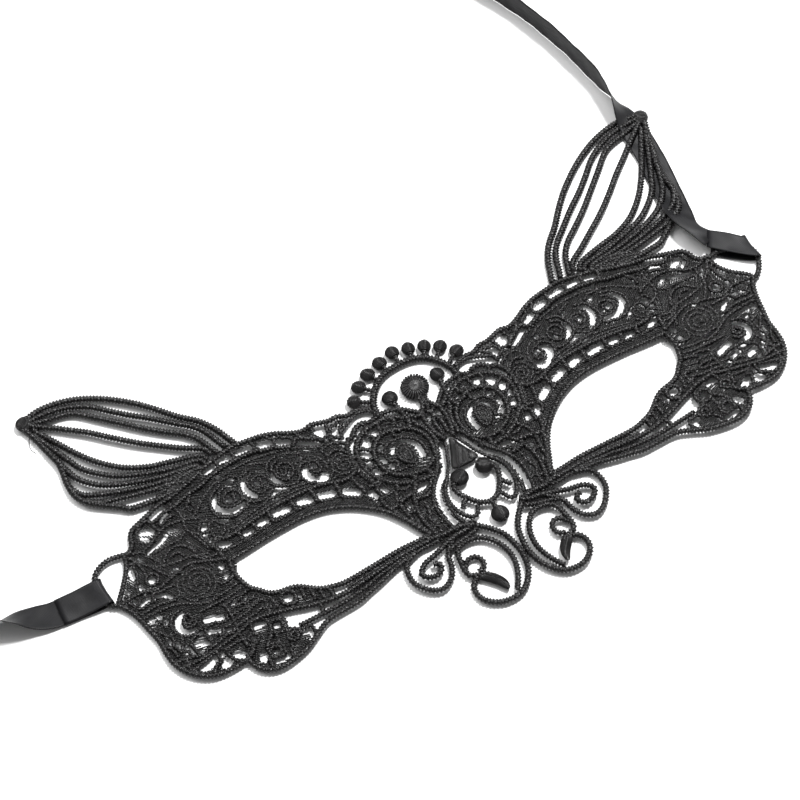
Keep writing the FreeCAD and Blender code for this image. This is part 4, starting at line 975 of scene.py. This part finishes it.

# --- Brow: laddered edge, five spirals and the ground between them ------------------------

EYE_TOP = [(22.6, -22), (25.2, -17.5), (27.6, -12.5), (31, -7.2), (35, -3), (40, 0.8), (45, 3.4),
    (50, 5), (56, 5.8),
           (62, 5.8), (70, 5.4), (78, 4.6), (84.5, 4.2)]
LOWER_BROW = [(30.5, 14.6), (33.8, 11.4), (38, 11), (43, 12.7), (48, 13.9), (55, 14.3), (62, 14.3),
    (70, 13.4), (76, 12.4), (80, 12), (87, 12)]
BROW_EDGE = [(36.5, 35.1), (41, 34.8), (45, 36.3), (49, 38.5), (53, 40), (57, 40.8), (61, 41.3),
    (64, 41.8), (70, 40.8),
             (77, 39), (84, 37), (92, 34.8)]
BROW_SECOND = [(36, 28), (38, 28.5), (42, 30.5), (46, 32.3), (50, 34), (55, 35.3), (60, 36.2),
    (65, 36.4), (70, 36.2), (76, 35.2),
               (80, 33.9), (86, 33), (92, 31.2)]
BROW_THIRD = [(36.5, 26.4), (41, 27.4), (45, 29.8), (50, 31.6), (55, 32.9), (60, 33.8), (65, 34),
    (70, 33.7), (75, 32.5), (80, 30.4), (84, 27.5), (88, 24.5)]


def line_between(a, b, width=FINE):
    return ([a, ((a[0] + b[0]) / 2, (a[1] + b[1]) / 2), b], width)


def spiral(x, y, outer, turns, start, hand=1, inner=0.8, width=1.5):
    """A cord rolled into a spiral, from outside in, starting at an angle in degrees."""
    points = []
    for i in range(int(turns * 10) + 1):
        share = i / (turns * 10)
        a = math.radians(start + hand * 36 * i)
        r = outer + (inner - outer) * share
        points.append((x + r * math.cos(a), y + r * math.sin(a)))
    return (points, width)


brow_cords = [(BROW_EDGE, CORD), (BROW_SECOND, CORD), (BROW_THIRD, FINE)]
brow_cords += [line_between(a, b) for a, b in (
    ((41.5, 30.5), (43.6, 35.6)), ((46, 32.3), (49.2, 38.3)), ((51, 34.6), (52.5, 40)), ((58, 36),
    (58, 41)), ((65.5, 36.4), (65.4, 41.3)),
    ((71.8, 36), (71.8, 40.2)), ((77.6, 35), (78.4, 38.6)))]
brow_cords += [
    spiral(43.6, 19.6, 2.3, 1.4, 0, 1, 0.7), spiral(53.3, 24.6, 4.6, 2.0, 90, -1),
    spiral(62.8, 24.8, 4.7, 2.0, 90, -1), spiral(73.4, 24.2, 5.0, 2.0, 90, -1),
    spiral(83.3, 17.2, 4.6, 2.0, 90, -1), spiral(34.6, 16.4, 4.4, 2.6, 90, -1, 0.6, 1.4),
    ([(43.5, 22.3), (46.4, 23.8), (49.4, 21.4), (48.8, 17.4), (45.6, 14.8), (41, 14.4),
      (38.6, 16.4)], 1.6),
    ([(40.2, 17.4), (40, 20.6), (41.6, 23.8), (44.8, 25.8), (48.8, 25)], 1.6),
    ([(49, 21), (51, 18.6), (54.5, 18.8), (58.8, 21.4), (59, 25.4), (57, 29.6), (53, 30.8)], 1.7),
    ([(59, 21), (63.2, 18.6), (68.2, 19.8), (69.9, 24), (67.6, 29), (63.6, 31)], 1.7),
    ([(69.6, 20.4), (74.2, 17.8), (79.6, 19.4), (81, 24.2), (78.2, 29), (74, 30.6)], 1.7),
    ([(79, 14.6), (83, 11.6), (87.6, 13.6), (88.8, 18), (86, 22.2)], 1.7),
    ([(38.5, 13.6), (44, 13.6), (48, 16.2), (55, 17.6), (62, 17.2), (70, 16.2), (78, 14)], 1.7),
    ([(48, 15), (55, 15.9), (62, 15.7), (70, 14.8), (77, 13.2)], 1.5),
    ([(46, 26.6), (47.6, 28.8), (51, 30.4)], 1.5), ([(58, 30), (60.4, 31.8), (63, 32.6)], 1.5),
    ([(68, 30.4), (71, 31.8), (74.6, 31.8)], 1.5), ([(39, 25), (38, 22), (39.4, 19)], 1.6),
]
brow_ground = ground(smooth_outline([(37, 34.6), (41, 34.2), (45, 35.8), (49, 38), (53, 39.6),
    (57, 40.4), (61, 41), (64, 41.4), (70, 40.4), (77, 38.6), (84, 36.6), (91, 34.6), (91, 26),
    (89, 20), (88, 12), (80, 12), (70, 13.2), (62, 14.2), (55, 14.2), (48, 13.6), (43, 12.6),
    (38, 11.2), (33, 12.6), (31.4, 16), (34, 20), (38.4, 21.5), (37.6, 27.6), (37, 30)], 3),
                     LACE_OPENINGS, 35, seed=6)


def wraps(piece, side, sign, *nodes):
    """The piece's placing is baked into its mesh, and it stands for the nodes; the side is not used."""
    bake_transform(piece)
    if nodes:
        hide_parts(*nodes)


RIM_BASE = [(31.8, 0.9), (35, 3), (40, 5.8), (45, 7.4), (50, 8.8), (56, 9.3), (62, 9.3), (70, 9),
    (78, 8.2), (85, 8.2)]
rim_cords = [(EYE_TOP, CORD), (LOWER_BROW, CORD), (RIM_BASE, 1.8)]
rim_cords += [line_between(a, b, 2.0) for a, b in (
    ((29.4, 5), (31.5, 13)), ((33.6, 2.5), (35.2, 11)), ((40.5, 5.5), (41, 12)), ((48.8, 8),
    (49.2, 13.6)), ((56.6, 9), (56.8, 14)), ((65.3, 9), (65.3, 13.8)),
    ((71.5, 8.8), (71.6, 13)), ((77.2, 8.4), (77.4, 12)), ((85.6, 4.6), (86.4, 12)))]
rim_ground = ground(smooth_outline([(27.5, 5), (30.6, 0.6), (30.8, -4), (35, -2.6), (40, 1.2),
    (45, 3.8), (50, 5.4), (56, 6.2), (62, 6.2), (70, 5.8), (78, 5), (85.6, 4.4), (87, 11.8), (80, 11.8),
    (70, 13.2), (62, 14), (55, 14), (48, 13.4), (43, 12.4), (38, 11), (33, 12), (31.4, 15),
    (29.6, 9)], 3),
                    LACE_OPENINGS, -10, seed=7)
for side, sign in SIDES.items():
    cords = sew_cords(side + "_brow_cords", mirrored(parted(brow_cords), sign))
    wraps(cords, side, sign, side + "_brow_edge", side + "_brow_ladder",
          side + "_brow_spirals", side + "_brow_scrollwork")
    wraps(sew_ground(side + "_brow_ground", mirrored(brow_ground, sign)), side, sign)
    rim = sew_cords(side + "_eye_rim_cords", mirrored(parted(rim_cords), sign))
    wraps(rim, side, sign, side + "_eye_rim", side + "_eye_corner")
    wraps(sew_ground(side + "_eye_rim_ground", mirrored(rim_ground, sign)), side, sign)

# --- Lower lid: three cords under the eye -------------------------------------------------
# Long cords from the inner corner of the eye that part round a lens-shaped gap and gather
# again at the cheek.

LID_TOP = [(23.5, -22), (28, -21.8), (35, -21.5), (45, -22), (55, -22.4), (60, -21.5), (64, -20),
    (69, -16.2), (72, -15), (76, -14.3),
           (79, -12.8), (81, -10.5), (83.3, -8), (84.8, -4), (85.3, 0), (84.8, 4.4)]
LID_SECOND = [(24, -23.6), (35, -23.6), (45, -24.6), (55, -25.8), (60, -25.8), (65, -25), (70, -23.7),
    (75, -22), (79, -20.8), (84, -19.5), (90, -19)]
LID_THIRD = [(38, -25), (45, -26), (50, -27.3), (60, -28.5), (70, -28.5), (76, -28.3)]
LID_BOTTOM = [(30, -25.2), (36, -25.9), (40, -26.8), (45, -28.3), (50, -29.6), (55, -30.8), (65, -31.3),
    (69, -32.5), (73, -34.7), (77, -36.7),
              (82, -38), (87, -38.5), (91, -37.5), (94, -35), (95.5, -31.5), (95, -29)]
lid_cords = [(LID_TOP, CORD), (LID_SECOND, CORD), (LID_THIRD, 1.8), (LID_BOTTOM, CORD),
             ([(26, -22.8), (34, -22.7), (44, -23.4), (52, -24.2), (56, -24.6)], 1.5),
             ([(30, -24.6), (36, -24.8), (42, -25.8)], 1.8),
             spiral(74.3, -17.8, 2.6, 1.2, 90, 1, 2.3, 1.7), line_between((69, -16.6),
             (69.6, -21), 1.8), line_between((66.5, -18.2), (66.8, -23), 1.8),
             line_between((64, -20.4), (64, -24.6), 1.8), line_between((61, -21.4), (61, -25.6), 1.8),
             line_between((71.4, -19.4), (75, -21.4), 1.8),
             line_between((78.6, -19.2), (79.4, -14), 1.8), line_between((66, -25), (67, -28.4)),
             line_between((81, -14), (82, -20), 1.8)]
LID_OPENINGS = [([(74.9, -17.8), (73.7, -17.8)], 1.1), ([(70.4, -19.3)], 0.9)]
lid_ground = ground(smooth_outline([(24, -22.4), (35, -22), (45, -22.6), (53, -23.4), (45, -24),
    (40, -26.2), (34, -25.6), (28, -25.2)], 3), LID_OPENINGS, 0, seed=8)
lid_ground += ground(smooth_outline([(60, -22), (64, -20.4), (69, -16.8), (73, -15.4), (78, -13.6),
    (82, -10.4), (84, -6), (86, -12), (87, -18), (80, -20.6), (72, -23), (65, -25), (61, -25.4)], 3),
                     LID_OPENINGS, 20, seed=9)
for side, sign in SIDES.items():
    cords = sew_cords(side + "_lower_lid_cords", mirrored(lid_cords, sign))
    wraps(cords, side, sign, side + "_lower_lid")
    wraps(sew_ground(side + "_lower_lid_ground", mirrored(lid_ground, sign)), side, sign)

# --- Cheek and temple: rosettes, curls and wavy cords over a stitched ground --------------
# The densest part of the lace, with its outline cord running from the ribbon's loop to the
# lower lid. It rides on the side panel.

CHEEK_EDGE = [(123.4, 8.4), (121, 4.5), (119.5, 0), (118.5, -5), (117.5, -10), (117.5, -15),
    (117, -19.5), (115, -24), (111.5, -27.8),
              (107, -30.2), (101, -30.8), (95, -30.3)]
TEMPLE_EDGE = [(90, 35.4), (97, 34.4), (100, 33.3), (104, 32), (107.5, 30.7), (109.3, 28.3),
    (110, 25.8), (112, 23.8), (114.5, 23.6)]
cheek_cords = [
    (CHEEK_EDGE, CORD), (TEMPLE_EDGE, CORD),
    spiral(86.5, -32.7, 3.3, 1.8, 30, 1, 1.3, 1.9), spiral(79, -30.5, 2.6, 1.8, 200, -1, 0.6, 1.7),
    spiral(82, -24.6, 3.0, 1.3, 120, 1, 1.9, 1.9), spiral(91.3, -24.8, 2.6, 1.6, 60, -1, 0.6, 1.8),
    spiral(106.5, -8, 3.2, 1.8, 200, 1, 0.6, 1.8), spiral(97.3, 2.3, 7.0, 3.4, 45, -1, 0.6, 1.6),
    ([(106.4, -3.2), (110, -4.4), (112, -8), (110.6, -12), (107, -13.6), (103.4, -12.6)], 1.7),
    ([(76, -30), (74, -31.4), (71.5, -33.2)], FINE), ([(80.6, -32.6), (82, -35), (82, -37.6)], FINE),
      ([(89.6, -33.4), (90, -36), (89.4, -38)], FINE),
    ([(84, -22.6), (85.2, -20.8), (86, -19.6)], FINE), ([(90, -22.6), (88.8, -20.6), (88, -19)], FINE),
      ([(80.6, -27.2), (79.6, -28.4)], 2.0),
    ([(84.6, -26), (87, -28.2), (88.4, -30)], 2.0), ([(92, -27.4), (93.4, -29), (95, -30)], 2.0),
      ([(83.6, -27), (84, -29.4), (84.4, -31)], 1.8),
    ([(85.2, -1), (90, -2.2), (91.6, -0.4)], 1.7), ([(85.6, -4.2), (91, -5.2), (96, -5.2), (101, -4.2),
      (105, -1.8), (110, -0.4), (118.4, -0.4)], 1.8),
    ([(85, -6.2), (90, -7.2), (96, -7.4), (101.6, -7.4)], 1.7), ([(84.2, -8.4), (90, -9.4),
      (94.4, -9.2)], 1.6),
    ([(83, -10.6), (88, -11.4), (93, -11.6), (94.6, -12.6), (99, -13.2), (104, -13.2)], 1.7),
      ([(82, -12.6), (88, -13.4), (93, -13.8)], 1.6),
    ([(81, -14.4), (87, -15.2), (92, -15.8), (98, -16.8), (103, -18.4)], 1.7), ([(80, -16.8),
      (86, -17.2), (92, -17.8), (98, -19.2), (104, -20.6), (110, -20.8), (116.6, -19.6)], 1.8),
    ([(89, -19), (95, -20.8), (102, -22), (108, -22.8), (115.6, -22.6)], 1.8), ([(93.4, -22.8),
      (99, -23.4), (104.6, -23.6), (110, -24.6), (114, -25)], 1.7),
    ([(93.5, -9), (93.2, -15), (94, -21), (93.6, -26.4)], 1.9), ([(113, -9), (114, -14), (112.8, -19),
      (113.4, -23.6)], 1.7), ([(110.6, -12.2), (111.8, -16), (110.8, -19.8)], 1.6),
    ([(107.4, -29.6), (105.4, -27), (104, -24)], 1.9), ([(108, -28.6), (111.6, -26.6),
      (113.6, -23.6)], 1.7), ([(94.8, -30), (98, -27.4), (101.4, -24.6)], 1.8),
    ([(114.8, -3.6), (112.6, -6), (111.4, -8.6)], 1.6), ([(117.6, -5.4), (115.4, -8.4),
      (114.2, -11)], 1.6), ([(117.6, -12), (115.4, -15), (114.8, -18.6)], 1.6),
    ([(102.8, -14), (103.4, -17), (102.4, -20.8)], 1.6), ([(105.4, -14.2), (108.4, -15.2),
      (109.6, -18.8), (107.6, -21.4)], 1.6),
]
cheek_ground = ground(smooth_outline([(84.6, 4), (85, -2), (84, -8), (81, -13), (79, -16.5), (80, -21),
    (79.4, -26), (76.6, -29.4), (74.4, -33.4), (77.4, -36), (82, -37.6), (87, -38), (91, -37),
    (94, -34.4), (95, -30.4),
                                      (101, -30.4), (107, -29.8), (111.2, -27.4), (114.6, -23.8),
                                      (116.6, -19.4), (117.2, -15), (117, -10), (117.8, -5),
                                      (118.6, -0.5), (119.2, 2.4), (118, 4), (112, 4)], 3),
                      LACE_OPENINGS, 15, seed=10)
temple_cords = [
    ([(86, 23), (91, 25.4), (97, 26.4), (101.6, 24.8), (105, 22.8), (109, 22.2), (113, 23.6)], 1.8),
      ([(88, 33.2), (94, 31), (99, 30.6), (103, 31.4), (107, 30.7)], 1.8),
    ([(86, 12.4), (90, 10.5), (95, 12.2), (101, 13), (107, 15), (112, 20), (113.6, 23.4)], 1.8),
      ([(85, 5.4), (88, 6.4), (92, 8.2), (97, 10), (104, 8.6), (110, 7), (116, 8.6),
      (122.4, 8.2)], 1.8),
    ([(88, 11), (90, 17), (91.6, 22), (91, 28), (92.4, 33)], 1.8), ([(92.6, 12.2), (94.4, 16),
      (97.6, 18), (101, 17.4), (104, 14.6)], 1.7), ([(96.6, 13), (98, 15.6), (101, 15.4)], 1.6),
    ([(104, 14), (106.5, 18.5), (108.5, 22.3)], 1.7), ([(103.5, 8.5), (105.5, 11), (108, 15.2)], 1.7),
      ([(92, 22), (95, 19.8), (99, 19.8), (103, 19.6), (107, 19.6)], 1.7),
    ([(103.4, 2), (107, 1), (112, 1.8), (118.8, 1.5)], 1.8), ([(86, 17), (89, 18), (91, 20)], 1.7),
      ([(104.6, 31), (107.2, 28), (106.4, 25), (103.2, 23.8)], 1.7),
    ([(101, 31), (100.6, 28), (99.6, 25.6)], 1.7), ([(113, 7.6), (111.6, 11), (110.8, 15), (111.6, 19),
      (113.4, 22.6)], 1.7), ([(116.2, 8.4), (114.6, 12), (113.2, 16), (113.8, 20)], 1.6),
    spiral(109.8, 11.2, 2.2, 1.1, 90, 1, 2.0, 1.5), spiral(118.3, 6.6, 2.0, 1.2, 0, 1, 1.2, 1.4),
        ([(104.4, 5.6), (108, 5.8), (112, 4.8), (118.8, 3.6)], 1.7),
    ([(90, 4.6), (91.4, 8.6), (94, 11.6)], 1.6), ([(86, 8.6), (89.6, 8.6), (92, 10.4)], 1.6),
      ([(93, 28.8), (96, 28.6), (99.6, 28.4)], 1.7), ([(87, 29.8), (89.6, 27.2), (91, 24.4)], 1.6),
    ([(84.6, 33.4), (86.6, 30.4), (87.6, 26.8)], 1.6),
]
temple_ground = ground(smooth_outline([(84.4, 4), (87, 12), (89, 20), (86, 24), (84, 30), (86, 35.4),
    (92, 34.6), (97, 34), (100, 33), (104, 31.6), (107, 30.4), (109, 28), (109.8, 25.6), (112, 23.4),
    (114, 21.6), (115.6, 17),
                                       (118.4, 13), (120.8, 9.6), (120.4, 6), (119.2, 3), (117.4, 1.2),
                                       (108, 0.4), (96, 1.4)], 3),
                       LACE_OPENINGS, 65, seed=11)
# The loops that carry the ribbons: the right one is pulled out of shape by its ribbon.
LOOPS = {"left": [
    ([(112.6, 23.4), (114.4, 24.2), (116, 24.6), (119, 25), (122, 24.4), (124.8, 22.8), (126.4, 20.4),
      (126.7, 17.6), (126.7, 13), (126.2, 10.6), (124.6, 9), (122.6, 8.2)], 1.95),
    ([(114, 23.4), (114.6, 21), (116, 18), (118.5, 14.5), (121.2, 11.2), (123.2, 8.8)], 1.8),
], "right": [
    ([(111.8, 23.8), (114.2, 23.2), (116.9, 23.7), (119.6, 23.8), (124, 22.5), (127.2, 21.2),
      (129.4, 18.7), (129.6, 15), (128.2, 11.8), (125.8, 8.8), (123.4, 7.6)], 1.95),
    ([(113.6, 23), (114.6, 20.3), (115.6, 17.4), (118.1, 13.9), (121.2, 11.2), (123.4, 8.8)], 1.8),
]}
for side, sign in SIDES.items():
    body = side + "_side"
    cheek = sew_cords(side + "_cheek_cords", mirrored(parted(cheek_cords), sign))
    rides(cheek, body, "lace_cord",
          side + "_cheek_edge", side + "_cheek_rosettes", side + "_cheek_mesh")
    rides(sew_ground(side + "_cheek_ground", mirrored(cheek_ground, sign)), body, "lace_cord")
    temple = sew_cords(side + "_temple_cords", mirrored(parted(temple_cords), sign))
    rides(temple, body, "lace_cord", side + "_temple_mesh")
    rides(sew_ground(side + "_temple_ground", mirrored(temple_ground, sign)), body, "lace_cord")
    loop = sew_cords(side + "_ribbon_loop", mirrored(LOOPS[side], sign), Lift=0.0)
    rides(loop, body, "lace_cord", side + "_temple_loop")

# --- Ears: nine ribs that fan from the brow and gather at the tip -------------------------
# Free cords with nothing between them, tied off in a small knot of thread at the tip.

EAR = [
    ([(62.6, 42.4), (64, 46), (66, 51), (69.5, 56.5), (75, 62), (80, 68), (85, 73.5), (90, 78),
      (95, 81.8), (100, 84.8), (105, 87), (111, 88.5), (117, 88.8), (122.4, 87.6)], CORD),
    ([(66, 42.5), (67, 45), (69, 50.5), (72, 55.3), (78, 60.8), (84, 66.3), (90, 71.3), (95, 76),
      (100, 80.8), (105, 83.8), (110, 85.6), (116, 86.6), (122, 86.4)], 1.9),
    ([(69.4, 42), (70.5, 45), (72.5, 50), (76, 54.5), (82, 59.3), (88, 64.5), (94, 70.3), (100, 76),
      (105, 80.7), (109, 82.8), (115, 84), (122, 85.6)], 1.9),
    ([(71.6, 42.6), (73, 46), (79, 50), (85, 54.5), (92, 60), (99, 66.3), (105, 72), (110, 76),
      (115, 80), (121.6, 84.8)], 1.9),
    ([(73.6, 41.4), (75.5, 44.5), (85, 47.5), (92, 49.5), (99, 53), (104, 57), (108.5, 61.8),
      (112.5, 67.5), (116.5, 74.4), (121.4, 83)], 1.9),
    ([(75, 40.4), (76.5, 43), (86, 45), (95, 48), (102.5, 51.3), (108, 55.3), (112.8, 60.3),
      (115.5, 65.7), (118, 71.5), (122, 81)], 1.9),
    ([(77, 39), (79, 41.7), (89, 43.5), (98.5, 46.3), (106, 49.3), (111.5, 52.8), (115.8, 57.8),
      (118, 63.5), (120.6, 73)], 1.9),
    ([(79.4, 38.4), (85, 41), (95, 43), (104, 45.7), (111, 48.3), (116.5, 51.3), (119.2, 55.6)], 1.9),
    ([(83.4, 37.4), (88, 39.5), (97, 41.3), (105, 43.3), (112, 45.3), (116.2, 47.9)], 1.9),
    ([(86, 36.4), (93, 36.8), (100, 37.5), (104.5, 38.5), (107.5, 41), (113, 45), (116.5, 48),
      (119, 52.5), (119.5, 58), (119, 63), (119, 68), (120.5, 73), (122, 79), (123.8, 84.8)], CORD),
    ([(77, 41), (82, 41.8), (88, 41.2), (93, 39.4)], 1.8), ([(76.4, 39.9), (82, 40.4), (88, 39.6),
      (95, 37.6)], 1.5),
    ([(77.4, 38.7), (83, 39), (89, 38.2), (95, 36.8)], 1.5),
]
ear_fill = satin(smooth_outline([(76, 39.4), (80, 41.8), (86, 42), (92, 40), (95.4, 37.4), (90, 36.6),
    (84, 37.6)], 4), -15, 0.5, 0.2)
ear_fill += satin(round_outline(123.2, 86.6, 2.7), 40, 0.45, 1.0)
RIB_SWELL = 1.15
LOOSE_THREAD = ([(122.6, 82), (124.4, 79.4), (125.2, 76.6), (124.2, 73.6)], 0.3)
ribs = [(points, width * RIB_SWELL) for points, width in EAR]
for side, sign in SIDES.items():
    cords = sew_cords(side + "_ear_cords", mirrored(ribs + [LOOSE_THREAD] * (side == "left"), sign))
    fill = sew_satin(side + "_ear_satin", mirrored(ear_fill, sign))
    for piece in (cords, fill):
        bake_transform(piece)
    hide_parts(side + "_ear_edge", side + "_ear_ribs")
    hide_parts(side + "_ear_tip")
